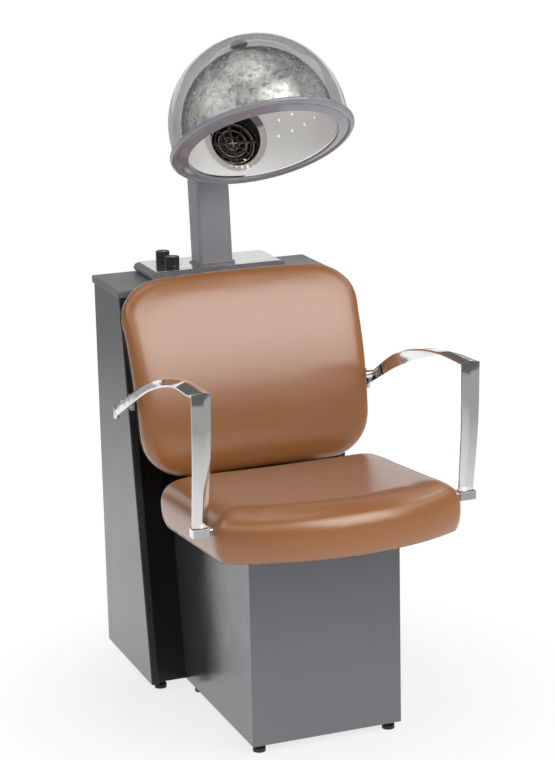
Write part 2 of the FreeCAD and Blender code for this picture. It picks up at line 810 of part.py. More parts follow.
def impeller_blade(index):
    """Twisted blade: steep at the hub, flatter at the tip."""
    sections = []
    root, tip = impeller_hub_radius / 2, impeller_radius
    for radius, pitch in ((root, impeller_root_pitch), (tip, impeller_tip_pitch)):
        angle = math.radians(pitch)
        chord = impeller_width / math.sin(angle) - 2 * impeller_blade_thickness
        along = V(math.cos(angle), math.sin(angle), 0) * (chord / 2)
        across = V(-math.sin(angle), math.cos(angle), 0) * (impeller_blade_thickness / 2)
        middle = V(0, impeller_rear() - impeller_width / 2, port_height + radius)
        corners = [middle - along - across, middle + along - across,
                   middle + along + across, middle - along + across]
        sections.append(Part.makePolygon(corners + corners[:1]))
    blade = Part.makeLoft(sections, True, True)
    blade.rotate(V(0, 0, port_height), Y_AXIS, 360.0 * index / impeller_blades)
    return blade


def fan_impeller():
    rear = impeller_rear()
    hub = port_cylinder(impeller_hub_radius, rear - impeller_width, rear)
    shaft = port_cylinder(motor_shaft_radius, rear - impeller_width,
                          rear + fan_gap + motor_length / 2)
    blades = [impeller_blade(index) for index in range(impeller_blades)]
    return on_hood(fused([hub, shaft] + blades))


def guard_rear():
    """The guard sits where its whole disc is behind the inner dome."""
    return inner_dome_radius + guard_thickness


def fan_guard():
    """Stamped guard: concentric rings tied by spokes."""
    rear, front = guard_rear(), guard_rear() - guard_thickness
    outer = port_radius - housing_wall
    pieces = []
    for index in range(guard_rings):
        ring_outer = outer * (index + 1) / guard_rings
        ring = port_cylinder(ring_outer, front, rear)
        pieces.append(ring.cut(port_cylinder(ring_outer - guard_bar, front, rear)))
    for index in range(guard_spokes):
        spoke = box(-guard_bar / 2, guard_bar / 2, front, rear,
                    port_height + outer / guard_rings - guard_bar,
                    port_height + outer - guard_bar / 2)
        spoke.rotate(V(0, 0, port_height), Y_AXIS, 360.0 * index / guard_spokes)
        pieces.append(spoke)
    return on_hood(fused(pieces))


def heater_element():
    """Resistance bands held in crossed mica plates behind the guard."""
    front = guard_rear()
    rear = front + heater_thickness
    outer = port_radius - housing_wall
    plate = box(-outer, outer, front, rear,
                port_height - mica_thickness / 2, port_height + mica_thickness / 2)
    plate = plate.common(port_cylinder(outer, front, rear))
    crossing = plate.copy()
    crossing.rotate(V(0, 0, port_height), Y_AXIS, 90)
    pieces = [plate, crossing]
    for index in range(heater_bands):
        band_outer = outer * (index + 1) / (heater_bands + 0.5)
        middle = (front + rear) / 2
        band = port_cylinder(band_outer, middle - heater_band_width / 2,
                             middle + heater_band_width / 2)
        hole = port_cylinder(band_outer - mica_thickness, middle - heater_band_width / 2,
                             middle + heater_band_width / 2)
        pieces.append(band.cut(hole))
    return on_hood(fused(pieces))


def hinge_knuckle():
    """Cast bracket on the drum's back that turns on the hinge pin."""
    width = yoke_gap - 2 * side_gap
    eye_radius = hinge_boss_radius - 2 * side_gap
    flange = box(-knuckle_flange / 2, knuckle_flange / 2,
                 housing_back, housing_back + knuckle_flange_thickness,
                 hinge_local_z - knuckle_flange / 2 - hinge_over_port,
                 hinge_local_z + knuckle_flange / 2 - hinge_over_port)
    stem = box(-width / 2, width / 2, housing_back, hinge_local_y,
               hinge_local_z - eye_radius, hinge_local_z + eye_radius)
    eye = cylinder(V(-width / 2, hinge_local_y, hinge_local_z), X_AXIS, eye_radius, width)
    bore = cylinder(V(-width / 2, hinge_local_y, hinge_local_z), X_AXIS,
                    hinge_pin_radius + running_gap, width)
    return on_hood(fused([flange, stem, eye]).cut(bore))


# --------------------------------------------------------------------- base
def panel_ahead(z):
    """Distance ahead of the cabinet's front panel at a height."""
    return cabinet_front(z) - front_panel_recess


def panel_meets_seat_plane(drop):
    """Distance ahead where a plane this far under the seat meets the panel."""
    rise = seat_sine / seat_cosine
    height = seat_rear_height - seat_rear_ahead * rise - drop
    return (panel_ahead(0) - height * front_slope) / (1 + rise * front_slope)


def base_side():
    front = base_front_ahead - board_thickness
    rear = panel_meets_seat_plane(0)
    points = [(ahead(panel_ahead(foot_height)), foot_height), (ahead(front), foot_height),
              (ahead(front), seat_underside(front)), (ahead(rear), seat_underside(rear))]
    return prism_x(points, -base_half, -base_inner_half)


def base_front_panel():
    rear = base_front_ahead - board_thickness
    points = [(ahead(rear), foot_height), (ahead(base_front_ahead), foot_height),
              (ahead(base_front_ahead), seat_underside(base_front_ahead)),
              (ahead(rear), seat_underside(rear))]
    panel = prism_x(points, -base_half, base_half)
    corners = [e for e in panel.Edges
               if abs(e.tangentAt(e.FirstParameter).z) > 0.9
               and e.CenterOfMass.y < ahead(base_front_ahead) + board_thickness / 2]
    return panel.makeFillet(base_edge_radius, corners)


def base_bottom():
    front = base_front_ahead - board_thickness
    high = foot_height + board_thickness
    points = [(ahead(panel_ahead(foot_height)), foot_height), (ahead(front), foot_height),
              (ahead(front), high), (ahead(panel_ahead(high)), high)]
    return prism_x(points, -base_inner_half, base_inner_half)


def base_top():
    """Sloping board that carries the seat and the legs of the uprights."""
    front = base_front_ahead - board_thickness
    upper = upright_thickness
    lower = upright_thickness + board_thickness
    rear_upper, rear_lower = panel_meets_seat_plane(upper), panel_meets_seat_plane(lower)
    points = [(ahead(rear_upper), seat_underside(rear_upper) - upper),
              (ahead(front), seat_underside(front) - upper),
              (ahead(front), seat_underside(front) - lower),
              (ahead(rear_lower), seat_underside(rear_lower) - lower)]
    return prism_x(points, -base_inner_half, base_inner_half)


# --------------------------------------------------------------------- seat
def seat_outline(inset, height):
    """Closed outline of the seat, front bowed, in the seat's own frame."""
    flare = math.atan2(seat_front_half - seat_rear_half, seat_depth)
    side_cos, side_sin = math.cos(flare), math.sin(flare)
    rear_r = seat_rear_corner - inset
    front_r = seat_front_corner - inset
    bow_r = seat_front_radius - inset
    bow_y = seat_depth - seat_front_radius

    def side_point(x, y):
        return V(x, -y, height)

    def corner_on_side(distance_in, y):
        """Centre of a corner circle that touches the flared side."""
        return seat_rear_half + y * math.tan(flare) - distance_in / side_cos

    rear_cy = seat_rear_corner
    rear_cx = corner_on_side(seat_rear_corner, rear_cy)
    low, high = 0.0, seat_depth
    for _ in range(60):
        front_cy = (low + high) / 2
        front_cx = corner_on_side(seat_front_corner, front_cy)
        if math.hypot(front_cx, front_cy - bow_y) < seat_front_radius - seat_front_corner:
            low = front_cy
        else:
            high = front_cy
    tangent = math.atan2(front_cy - bow_y, front_cx)
    side_rear = side_point(rear_cx + rear_r * side_cos, rear_cy - rear_r * side_sin)
    side_front = side_point(front_cx + front_r * side_cos, front_cy - front_r * side_sin)
    middle = (tangent - flare) / 2
    corner_mid = side_point(front_cx + front_r * math.cos(middle),
                            front_cy + front_r * math.sin(middle))
    bow_end = side_point(bow_r * math.cos(tangent), bow_y + bow_r * math.sin(tangent))
    bow_mid = side_point(0, bow_y + bow_r)
    rear_end = side_point(rear_cx, rear_cy - rear_r)
    rear_turn = -(math.pi / 2 + flare) / 2
    rear_mid = side_point(rear_cx + rear_r * math.cos(rear_turn),
                          rear_cy + rear_r * math.sin(rear_turn))

    def flip(point):
        return V(-point.x, point.y, point.z)

    edges = [
        Part.LineSegment(side_rear, side_front).toShape(),
        Part.Arc(side_front, corner_mid, bow_end).toShape(),
        Part.Arc(bow_end, bow_mid, flip(bow_end)).toShape(),
        Part.Arc(flip(bow_end), flip(corner_mid), flip(side_front)).toShape(),
        Part.LineSegment(flip(side_front), flip(side_rear)).toShape(),
        Part.Arc(flip(side_rear), flip(rear_mid), flip(rear_end)).toShape(),
        Part.LineSegment(flip(rear_end), rear_end).toShape(),
        Part.Arc(rear_end, rear_mid, side_rear).toShape(),
    ]
    return Part.Wire(edges)


def seat_slab(inset, z0, z1):
    return Part.Face(seat_outline(inset, z0)).extrude(V(0, 0, z1 - z0))


def seat_frame():
    board = seat_slab(frame_inset, 0, frame_board)
    rails = seat_slab(frame_inset, frame_board, frame_rail_height)
    middle = seat_slab(frame_inset + frame_rail_width, frame_board, frame_rail_height)
    return on_seat(fused([board, rails.cut(middle)]))


def arm_spigot(side_gap_allowance):
    """Stud of the arm's foot bracket, through the upholstery to the frame."""
    outside = arm_foot_half - arm_block_width / 2
    inner = seat_front_half - frame_inset - frame_rail_width
    middle = arm_foot_height - arm_block_height / 2
    return cylinder(V(inner, ahead(arm_foot_ahead), middle), X_AXIS,
                    arm_spigot_radius + side_gap_allowance, outside - inner)


def seat_cushion():
    """Puffed pad that wraps the seat frame."""
    wires = [seat_outline(inset, share * seat_thickness) for inset, share in seat_side_levels]
    body = Part.makeLoft(wires, True, False)
    crown = Part.makeLoft([seat_outline(seat_top_inset, seat_thickness),
                           seat_outline(seat_crown_inset, seat_thickness + seat_crown)],
                          True, True)
    pad = on_seat(body.fuse(crown)).cut(seat_frame())
    return pad.cut(both_sides(arm_spigot(soft_gap)))


# ----------------------------------------------------------------- backrest
def back_side_half(z):
    """Half the backrest's width where its side stands at a height."""
    slope = (back_top_half - back_bottom_half) / (back_top - back_bottom)
    return back_bottom_half + (z - back_bottom) * slope


def back_outline(inset, distance):
    """Rounded outline of the backrest, seen from the front, at a distance
    ahead.  Its top edge falls towards the rear, square to the curved face."""
    lean = math.atan2(back_top_half - back_bottom_half, back_top - back_bottom)
    rake = math.asin((back_top - back_vertical_height) / back_radius)
    face_ahead = back_axis_ahead + back_radius * math.cos(rake)
    top = back_top - inset + (distance - face_ahead) * math.tan(rake)
    bottom = back_bottom + inset
    top_r, low_r = back_top_corner - inset, back_bottom_corner - inset

    def side_x(z, distance_in):
        return back_side_half(z) - (inset + distance_in) / math.cos(lean)

    def point(x, z):
        return V(x, ahead(distance), z)

    top_cz, low_cz = top - top_r, bottom + low_r
    top_cx, low_cx = side_x(top_cz, top_r), side_x(low_cz, low_r)
    side_cos, side_sin = math.cos(lean), math.sin(lean)
    side_top = point(top_cx + top_r * side_cos, top_cz - top_r * side_sin)
    side_low = point(low_cx + low_r * side_cos, low_cz - low_r * side_sin)
    top_turn = (math.pi / 2 - lean) / 2
    low_turn = -(math.pi / 2 + lean) / 2
    top_mid = point(top_cx + top_r * math.cos(top_turn), top_cz + top_r * math.sin(top_turn))
    low_mid = point(low_cx + low_r * math.cos(low_turn), low_cz + low_r * math.sin(low_turn))
    top_end, low_end = point(top_cx, top), point(low_cx, bottom)
    crown = point(0, top + back_top_crown)

    def flip(corner):
        return V(-corner.x, corner.y, corner.z)

    edges = [
        Part.LineSegment(side_low, side_top).toShape(),
        Part.Arc(side_top, top_mid, top_end).toShape(),
        Part.Arc(top_end, crown, flip(top_end)).toShape(),
        Part.Arc(flip(top_end), flip(top_mid), flip(side_top)).toShape(),
        Part.LineSegment(flip(side_top), flip(side_low)).toShape(),
        Part.Arc(flip(side_low), flip(low_mid), flip(low_end)).toShape(),
        Part.LineSegment(flip(low_end), low_end).toShape(),
        Part.Arc(low_end, low_mid, side_low).toShape(),
    ]
    return Part.Wire(edges)


def back_block(inset):
    """The outline carried from behind the backrest to before it."""
    rear = back_front_ahead - back_block_reach
    front = back_front_ahead + back_cushion_thickness
    return Part.makeLoft([back_outline(inset, rear), back_outline(inset, front)], True, True)


def back_curve(radius):
    """Cylinder across the chair that gives the backrest its profile."""
    reach = 2 * back_top_half
    centre = V(-reach, ahead(back_axis_ahead), back_vertical_height)
    return cylinder(centre, X_AXIS, radius, 2 * reach)


def back_layer(inset, front_radius, rear_radius):
    return back_block(inset).common(back_curve(front_radius).cut(back_curve(rear_radius)))


def back_round(layer, radius, surface_radius):
    """Round the edge where a layer meets its curved face."""
    axis_y, axis_z = ahead(back_axis_ahead), back_vertical_height
    rim = []
    for edge in layer.Edges:
        distances = [abs(math.hypot(v.Point.y - axis_y, v.Point.z - axis_z) - surface_radius)
                     for v in edge.Vertexes]
        if max(distances) < 0.01:
            rim.append(edge)
    return layer.makeFillet(radius, rim)


def arm_stud():
    """Stud from the arm's rear plate through the shell into the back board."""
    middle_radius = (shell_front_radius + board_rear_radius) / 2
    height = arm_plate_height - back_vertical_height
    y = ahead(back_axis_ahead + math.sqrt(middle_radius ** 2 - height ** 2))
    inner = back_bottom_half - 2 * back_board_inset
    return V(inner, y, arm_plate_height)


def arm_stud_solid(extra):
    start = arm_stud()
    length = arm_plate_inner_half() - start.x
    return cylinder(start, X_AXIS, arm_stud_radius + extra, length)


def arm_plate_inner_half():
    """Where the arm's rear plate stands clear of the backrest's side."""
    return back_side_half(arm_plate_height) + welt_proud + arm_plate_gap


def backrest_cushion():
    layer = back_layer(0, back_radius, board_front_radius)
    return back_round(layer, back_cushion_edge_radius, back_radius)


def backrest_welt():
    ring = back_layer(-welt_proud, board_front_radius, shell_front_radius)
    return ring.cut(back_block(back_board_inset))


def backrest_board():
    board = back_layer(back_board_inset, board_front_radius, board_rear_radius)
    return board.cut(both_sides(arm_stud_solid(0)))


def backrest_shell():
    layer = back_layer(back_shell_inset, shell_front_radius, shell_rear_radius)
    layer = back_round(layer, back_shell_edge_radius, shell_rear_radius)
    pocket = back_layer(back_board_inset, board_front_radius, board_rear_radius)
    return layer.cut(pocket).cut(both_sides(arm_stud_solid(0)))


def back_upright():
    """Flat steel bar up the shell's back, cranked under the seat frame."""
    x0, x1 = upright_x - upright_width / 2, upright_x + upright_width / 2
    inner_radius = shell_rear_radius - upright_thickness
    curved = back_curve(shell_rear_radius).cut(back_curve(inner_radius))
    far = 2 * back_front_ahead
    window = box(x0, x1, ahead(far), ahead(0), back_vertical_height, upright_top)
    rise = curved.common(window)
    front = back_axis_ahead + shell_rear_radius
    rear = front - upright_thickness
    crank = seat_underside(rear) - upright_thickness
    post = box(x0, x1, ahead(front), ahead(rear),
               seat_underside(front) - upright_thickness, back_vertical_height)
    points = [(ahead(rear), seat_underside(rear)), (ahead(upright_leg_ahead),
              seat_underside(upright_leg_ahead)),
              (ahead(upright_leg_ahead), seat_underside(upright_leg_ahead) - upright_thickness),
              (ahead(rear), crank)]
    leg = prism_x(points, x0, x1)
    return fused([rise, post, leg])


# --------------------------------------------------------------------- arms
def band_section(centre, across, normal, width, stretch):
    """Five-sided section of the arm: flat underside, ridge off the middle."""
    half = width / 2
    inner = centre - across * half
    outer = centre + across * half
    ridge = centre - across * (arm_ridge_offset * width) + normal * (arm_ridge_height * stretch)
    drop = normal * (arm_edge_thickness * stretch)
    corners = [inner, ridge, outer, outer - drop, inner - drop]
    return Part.makePolygon(corners + corners[:1])


def rail_section(index):
    x, distance, z, width, twist = arm_rail_stations[index]
    last = len(arm_rail_stations) - 1
    before = arm_rail_stations[max(index - 1, 0)]
    after = arm_rail_stations[min(index + 1, last)]
    along = V(after[0] - before[0], -(after[1] - before[1]), after[2] - before[2])
    along.normalize()
    outward = X_AXIS - along * X_AXIS.dot(along)
    outward.normalize()
    upward = outward.cross(along)
    if upward.z < 0:
        upward = upward * -1
    turn = math.radians(twist)
    across = outward * math.sin(turn) - upward * math.cos(turn)
    normal = outward * math.cos(turn) + upward * math.sin(turn)
    return band_section(V(x, from_seat(distance), z), across, normal, width, 1.0)


def corner_section():
    """Mitre between the rail and the post."""
    x, distance, z, width = arm_rail_stations[-1][:4]
    normal = V(0, -1, 1)
    normal.normalize()
    return band_section(V(x, from_seat(distance), z), X_AXIS, normal, width, math.sqrt(2))


def post_section(index):
    x, distance, z, width = arm_post_stations[index]
    return band_section(V(x, from_seat(distance), z), X_AXIS, V(0, -1, 0), width, 1.0)


def arm():
    last = len(arm_rail_stations) - 1
    rail_wires = [rail_section(index) for index in range(last)] + [corner_section()]
    rail = Part.makeLoft(rail_wires, True, False)
    post_wires = [corner_section()] + [post_section(i) for i in range(len(arm_post_stations))]
    post = Part.makeLoft(post_wires, True, False)
    below = box(0, 2 * arm_foot_half, ahead(seat_front_ahead), ahead(0), 0, arm_foot_height)
    tip = arm_rail_stations[0]
    pin = cylinder(V(tip[0], from_seat(tip[1]), tip[2] - arm_tip_length / 2), Z_AXIS,
                   arm_tip_radius, arm_tip_length)
    stud = arm_stud()
    outer = arm_plate_inner_half() + arm_plate_thickness
    boss = cylinder(V(outer, stud.y, stud.z), X_AXIS, arm_boss_radius,
                    arm_rail_stations[1][0] - outer)
    return fused([rail, post, pin, boss]).cut(below)


def arm_foot_bracket():
    inner = arm_foot_half - arm_block_width / 2
    block = box(inner, inner + arm_block_width,
                ahead(arm_foot_ahead) - arm_block_depth / 2,
                ahead(arm_foot_ahead) + arm_block_depth / 2,
                arm_foot_height - arm_block_height, arm_foot_height)
    upright = [e for e in block.Edges if abs(e.tangentAt(e.FirstParameter).z) > 0.9]
    block = block.makeFillet(arm_block_edge_radius, upright)
    spigot = arm_spigot(0).cut(seat_frame())
    return block.fuse(spigot)


def arm_rear_plate():
    stud = arm_stud()
    inner = arm_plate_inner_half()
    plate = box(inner, inner + arm_plate_thickness,
                stud.y - arm_plate_depth / 2, stud.y + arm_plate_depth / 2,
                stud.z - arm_plate_size / 2, stud.z + arm_plate_size / 2)
    return plate.fuse(arm_stud_solid(0))


# ------------------------------------------------------------------ hand-out
def build_parts():
    right_arm = arm()
    return {
        "cabinet_side_left": cabinet_side(),
        "cabinet_side_right": mirrored(cabinet_side()),
        "cabinet_edge_mouldings": both_sides(cabinet_edge_moulding()),
        "cabinet_front_panel": cabinet_front_panel(),
        "cabinet_back_panel": cabinet_back_panel(),
        "cabinet_bottom": cabinet_bottom(),
        "cabinet_lid": cabinet_lid(),
        "cord_grommet": cord_grommet(),
        "panel_screws": panel_screws(),
        "levelling_feet": levelling_feet(),
        "console_housing": console_housing(),
        "console_plate": console_plate(),
        "timer_body": control_body(timer_knob_ahead),
        "thermostat_body": control_body(heat_knob_ahead),
        "timer_knob": control_knob(timer_knob_ahead),
        "heat_knob": control_knob(heat_knob_ahead),
        "column_collar": column_collar(),
        "column_guide": column_guide(),
        "column_lower_bush": lower_bush(),
        "guide_rail": guide_rail(),
        "column_tube": column_tube(),
        "hinge_yoke": hinge_yoke(),
        "hinge_pin": hinge_pin(),
        "hinge_knuckle": hinge_knuckle(),
        "outer_dome": outer_dome(),
        "inner_dome": inner_dome(),
        "rim_ring": rim_ring(),
        "dome_cap": dome_cap(),
        "port_ring": port_ring(),
        "fan_housing": fan_housing(),
        "fan_motor": fan_motor(),
        "fan_impeller": fan_impeller(),
        "fan_guard": fan_guard(),
        "heater_element": heater_element(),
        "base_side_left": base_side(),
        "base_side_right": mirrored(base_side()),
        "base_front_panel": base_front_panel(),
        "base_bottom": base_bottom(),
        "base_top": base_top(),
        "seat_frame": seat_frame(),
        "seat_cushion": seat_cushion(),
        "backrest_cushion": backrest_cushion(),
        "backrest_welt": backrest_welt(),
        "backrest_board": backrest_board(),
        "backrest_shell": backrest_shell(),
        "back_uprights": both_sides(back_upright()),
        "arm_right": right_arm,
        "arm_left": mirrored(right_arm),
        "arm_foot_brackets": both_sides(arm_foot_bracket()),
        "arm_rear_plates": both_sides(arm_rear_plate()),
    }


os.makedirs("parts", exist_ok=True)
for node, shape in build_parts().items():
    shape.exportStep("parts/" + node + ".step")
    print(node, len(shape.Solids), round(shape.Volume), shape.isValid())
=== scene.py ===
import math

import bmesh
import bpy
import numpy
from mathutils import Matrix, Vector


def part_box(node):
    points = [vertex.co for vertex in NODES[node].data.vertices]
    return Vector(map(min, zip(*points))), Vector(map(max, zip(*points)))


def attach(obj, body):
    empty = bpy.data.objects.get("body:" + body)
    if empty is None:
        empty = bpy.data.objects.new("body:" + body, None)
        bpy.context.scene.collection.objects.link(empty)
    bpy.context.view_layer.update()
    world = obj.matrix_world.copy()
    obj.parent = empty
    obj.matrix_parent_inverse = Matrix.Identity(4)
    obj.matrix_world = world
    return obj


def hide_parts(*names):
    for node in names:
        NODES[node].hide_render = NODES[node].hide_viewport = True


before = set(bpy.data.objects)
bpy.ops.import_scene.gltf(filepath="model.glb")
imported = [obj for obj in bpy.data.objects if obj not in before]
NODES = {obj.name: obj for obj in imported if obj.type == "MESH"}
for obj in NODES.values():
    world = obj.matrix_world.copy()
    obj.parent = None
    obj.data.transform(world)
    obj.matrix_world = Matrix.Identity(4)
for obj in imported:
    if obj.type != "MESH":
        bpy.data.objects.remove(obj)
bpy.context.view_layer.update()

# Lengths are in metres.  The sitter faces -Y, and the back of the cabinet stands at BACK_Y.
BACK_Y = 0.471374
# Points of a CAD mesh that are closer together than this are one point.
MERGE_DISTANCE = 0.00003


def ahead(distance):
    """Y of a point this far ahead of the cabinet's back."""
    return BACK_Y - distance


def new_piece(name, bm):
    mesh = bpy.data.meshes.new(name)
    bm.to_mesh(mesh)
    bm.free()
    piece = bpy.data.objects.new(name, mesh)
    bpy.context.scene.collection.objects.link(piece)
    return piece


def merged_copy(node):
    """Editable copy of a CAD node's mesh, with its double points merged."""
    bm = bmesh.new()
    bm.from_mesh(NODES[node].data)
    bmesh.ops.remove_doubles(bm, verts=bm.verts, dist=MERGE_DISTANCE)
    return bm


def round_off(bm, edges, offset, segments, clamped=False):
    bmesh.ops.bevel(bm, geom=edges, offset=offset, affect="EDGES", segments=segments,
                    profile=0.5, material=-1, clamp_overlap=clamped)


def smooth_shaded(piece, material):
    """Dress a piece in one material, with no facets showing."""
    for face in piece.data.polygons:
        face.use_smooth = True
    piece.data.materials.clear()
    piece.data.materials.append(material)


# ------------------------------------------------------------------ camera
LENS_MM = 110.22
SENSOR_MM = 36.0
FAR_CLIP = 100.0
CAMERA_PLACE = (-1.781152, ahead(5.089902), 2.040842)
# Radians, to the right, downwards and about the line of sight.
CAMERA_YAW = 0.3697863
CAMERA_PITCH = 0.2557263
CAMERA_ROLL = -0.0214523


def place_camera():
    data = bpy.data.cameras.new("studio_camera")
    data.lens = LENS_MM
    data.sensor_width = SENSOR_MM
    data.clip_end = FAR_CLIP
    camera = bpy.data.objects.new("studio_camera", data)
    bpy.context.scene.collection.objects.link(camera)
    forward = Vector((math.sin(CAMERA_YAW) * math.cos(CAMERA_PITCH),
                      math.cos(CAMERA_YAW) * math.cos(CAMERA_PITCH),
                      -math.sin(CAMERA_PITCH)))
    right = Vector((math.cos(CAMERA_YAW), -math.sin(CAMERA_YAW), 0))
    up = right.cross(forward)
    right_rolled = math.cos(CAMERA_ROLL) * right + math.sin(CAMERA_ROLL) * up
    up_rolled = -math.sin(CAMERA_ROLL) * right + math.cos(CAMERA_ROLL) * up
    turn = Matrix((right_rolled, up_rolled, -forward)).transposed()
    camera.matrix_world = Matrix.Translation(CAMERA_PLACE) @ turn.to_4x4()
    bpy.context.scene.camera = camera


# -------------------------------------------------------------- node trees
class Tree:
    """Short ways to add nodes to a node tree."""

    def __init__(self, tree):
        self.nodes, self.links = tree.nodes, tree.links

    def feed(self, socket, value):
        """Link an output to the socket, or set the socket's own value."""
        if isinstance(value, bpy.types.NodeSocket):
            self.links.new(value, socket)
        else:
            socket.default_value = value

    def maths(self, operation, *values):
        node = self.nodes.new("ShaderNodeMath")
        node.operation = operation
        for socket, value in zip(node.inputs, values):
            self.feed(socket, value)
        return node.outputs[0]

    def vector_maths(self, operation, *values, output="Value"):
        node = self.nodes.new("ShaderNodeVectorMath")
        node.operation = operation
        for socket, value in zip(node.inputs, values):
            self.feed(socket, value)
        return node.outputs[output]

    def ranged(self, value, low, high, to_low=0.0, to_high=1.0):
        """Value spread from the range low to high over to_low to to_high, and held there."""
        node = self.nodes.new("ShaderNodeMapRange")
        for name, number in (("Value", value), ("From Min", low), ("From Max", high),
                             ("To Min", to_low), ("To Max", to_high)):
            self.feed(node.inputs[name], number)
        return node.outputs["Result"]

    def seen_by_lens(self):
        """1 for what the lens sees by itself, through glass and in metal or gloss."""
        path = self.nodes.new("ShaderNodeLightPath").outputs
        direct = self.maths("MAXIMUM", path["Is Camera Ray"], path["Is Glossy Ray"])
        return self.maths("MAXIMUM", direct, path["Is Transmission Ray"])

    def white(self, kind, strength):
        """White background or emission."""
        node = self.nodes.new(kind)
        node.inputs["Color"].default_value = (1, 1, 1, 1)
        self.feed(node.inputs["Strength"], strength)
        return node.outputs[0]

    def put_out(self, kind, share, first, second):
        """Output node fed by the first shader, with this share of the second."""
        mix = self.nodes.new("ShaderNodeMixShader")
        for socket, value in zip(mix.inputs, (share, first, second)):
            self.feed(socket, value)
        self.links.new(mix.outputs[0], self.nodes.new(kind).inputs["Surface"])


# ------------------------------------------------------------- studio room
# Name, place, target, size, and brightness, where 1 is plain white.
SOFTBOXES = [
    ("front_softbox", (1.43, -3.34, 3.65), (0, 0, 0.75), (3.6, 4.2), 3.1),
    ("left_softbox", (-3.0, 0.2, 3.8), (0, 0, 1.1), (1.7, 2.4), 0.9),
    ("top_softbox", (-0.4, 0.4, 4.4), (0, 0, 0.6), (2.2, 2.2), 1.0),
]
AMBIENT = 0.7
FLOOR_RADIUS = 40.0
FLOOR_PAINT = (0.9, 0.9, 0.9, 1)
# Distances from the origin between which the floor's shadows fade out, and the share of plain
# white where the fading starts.
SHADOW_FADE = (0.35, 0.75)
SHADOW_WHITE = 0.76
# Glossy surfaces see a painted pool of light on the floor: its glow darkens away from this point.
PAINTED_POOL_MIDDLE = (-0.45, 0.6, 0.0)
PAINTED_POOL_FADE = (0.9, 3.0)
PAINTED_POOL_EDGE = 0.38
WALL_RADIUS = 6.5
WALL_HEIGHT = 4.0
ROUND_STEPS = 96
# The wall is left open behind the object, past this Y and to the right of this X.
WALL_END_Y = 4.2
WALL_END_X = -2.0
VALANCE_FROM_Y = 3.9
VALANCE_FOOT = 2.55
CEILING_RADIUS = 3.6
CEILING_HEIGHT = 4.8
CEILING_STEPS = 64
CLOTH_COLOUR = (0.16, 0.16, 0.165, 1)
CLOTH_ROUGHNESS = 0.9


def studio_light(name, place, target, size, brightness):
    data = bpy.data.lights.new(name, "AREA")
    data.shape = "RECTANGLE"
    data.size, data.size_y = size
    data.energy = brightness * math.pi * size[0] * size[1]
    lamp = bpy.data.objects.new(name, data)
    bpy.context.scene.collection.objects.link(lamp)
    lamp.location = place
    lamp.rotation_euler = (Vector(target) - Vector(place)).to_track_quat("-Z", "Y").to_euler()
    lamp.visible_camera = False


def light_world():
    """White backdrop, which lights matt surfaces more softly than it looks."""
    world = bpy.data.worlds.new("studio_world")
    bpy.context.scene.world = world
    world.use_nodes = True
    tree = Tree(world.node_tree)
    tree.nodes.clear()
    soft = tree.white("ShaderNodeBackground", AMBIENT)
    plain = tree.white("ShaderNodeBackground", 1.0)
    tree.put_out("ShaderNodeOutputWorld", tree.seen_by_lens(), soft, plain)


def studio_floor():
    """Pale floor that turns into plain white away from the object; in gloss it shows a painted
    pool of light.
    """
    bm = bmesh.new()
    bmesh.ops.create_circle(bm, cap_ends=True, radius=FLOOR_RADIUS, segments=ROUND_STEPS)
    floor = new_piece("studio_floor", bm)
    material = bpy.data.materials.new("pale_floor")
    material.use_nodes = True
    tree = Tree(material.node_tree)
    tree.nodes.clear()
    place = tree.nodes.new("ShaderNodeTexCoord").outputs["Object"]
    # Painted pool of light for glossy rays: the floor's glow falls from 1 near the middle to the
    # edge value.
    from_painted_pool = tree.vector_maths("DISTANCE", place, PAINTED_POOL_MIDDLE)
    painted_pool = tree.ranged(from_painted_pool, *PAINTED_POOL_FADE, 1.0, PAINTED_POOL_EDGE)
    path = tree.nodes.new("ShaderNodeLightPath").outputs
    in_gloss = tree.maths("MAXIMUM", painted_pool, path["Is Transmission Ray"])
    strength = tree.ranged(path["Is Glossy Ray"], 0.0, 1.0, 1.0, in_gloss)
    white = tree.white("ShaderNodeEmission", strength)
    paint = tree.nodes.new("ShaderNodeBsdfDiffuse")
    paint.inputs["Color"].default_value = FLOOR_PAINT
    fade = tree.ranged(tree.vector_maths("LENGTH", place), *SHADOW_FADE, SHADOW_WHITE, 1.0)
    share = tree.maths("MULTIPLY", fade, tree.seen_by_lens())
    tree.put_out("ShaderNodeOutputMaterial", share, paint.outputs[0], white)
    floor.data.materials.append(material)


def dark_cloth():
    material = bpy.data.materials.new("wall_cloth")
    material.use_nodes = True
    shader = material.node_tree.nodes["Principled BSDF"]
    shader.inputs["Base Color"].default_value = CLOTH_COLOUR
    shader.inputs["Roughness"].default_value = CLOTH_ROUGHNESS
    return material


def hung_cloth(name, material, foot, left_open):
    """Part of a round wall of cloth that only metal and gloss can see."""
    bm = bmesh.new()
    bmesh.ops.create_circle(bm, cap_ends=False, radius=WALL_RADIUS, segments=ROUND_STEPS)
    bmesh.ops.delete(bm, geom=[v for v in bm.verts if left_open(v.co)], context="VERTS")
    bmesh.ops.translate(bm, verts=bm.verts, vec=(0, 0, foot))
    hem = bmesh.ops.extrude_edge_only(bm, edges=bm.edges)["geom"]
    bmesh.ops.translate(bm, verts=[v for v in hem if isinstance(v, bmesh.types.BMVert)],
                        vec=(0, 0, WALL_HEIGHT))
    cloth = new_piece(name, bm)
    cloth.data.materials.append(material)
    cloth.visible_camera = False
    cloth.visible_transmission = False
    cloth.visible_diffuse = False


def studio_ceiling(material):
    """Dark ceiling over the lamps."""
    bm = bmesh.new()
    bmesh.ops.create_circle(bm, cap_ends=True, radius=CEILING_RADIUS, segments=CEILING_STEPS)
    bmesh.ops.translate(bm, verts=bm.verts, vec=(0, 0, CEILING_HEIGHT))
    ceiling = new_piece("studio_ceiling", bm)
    ceiling.data.materials.append(material)
    ceiling.visible_camera = False
    ceiling.visible_transmission = False


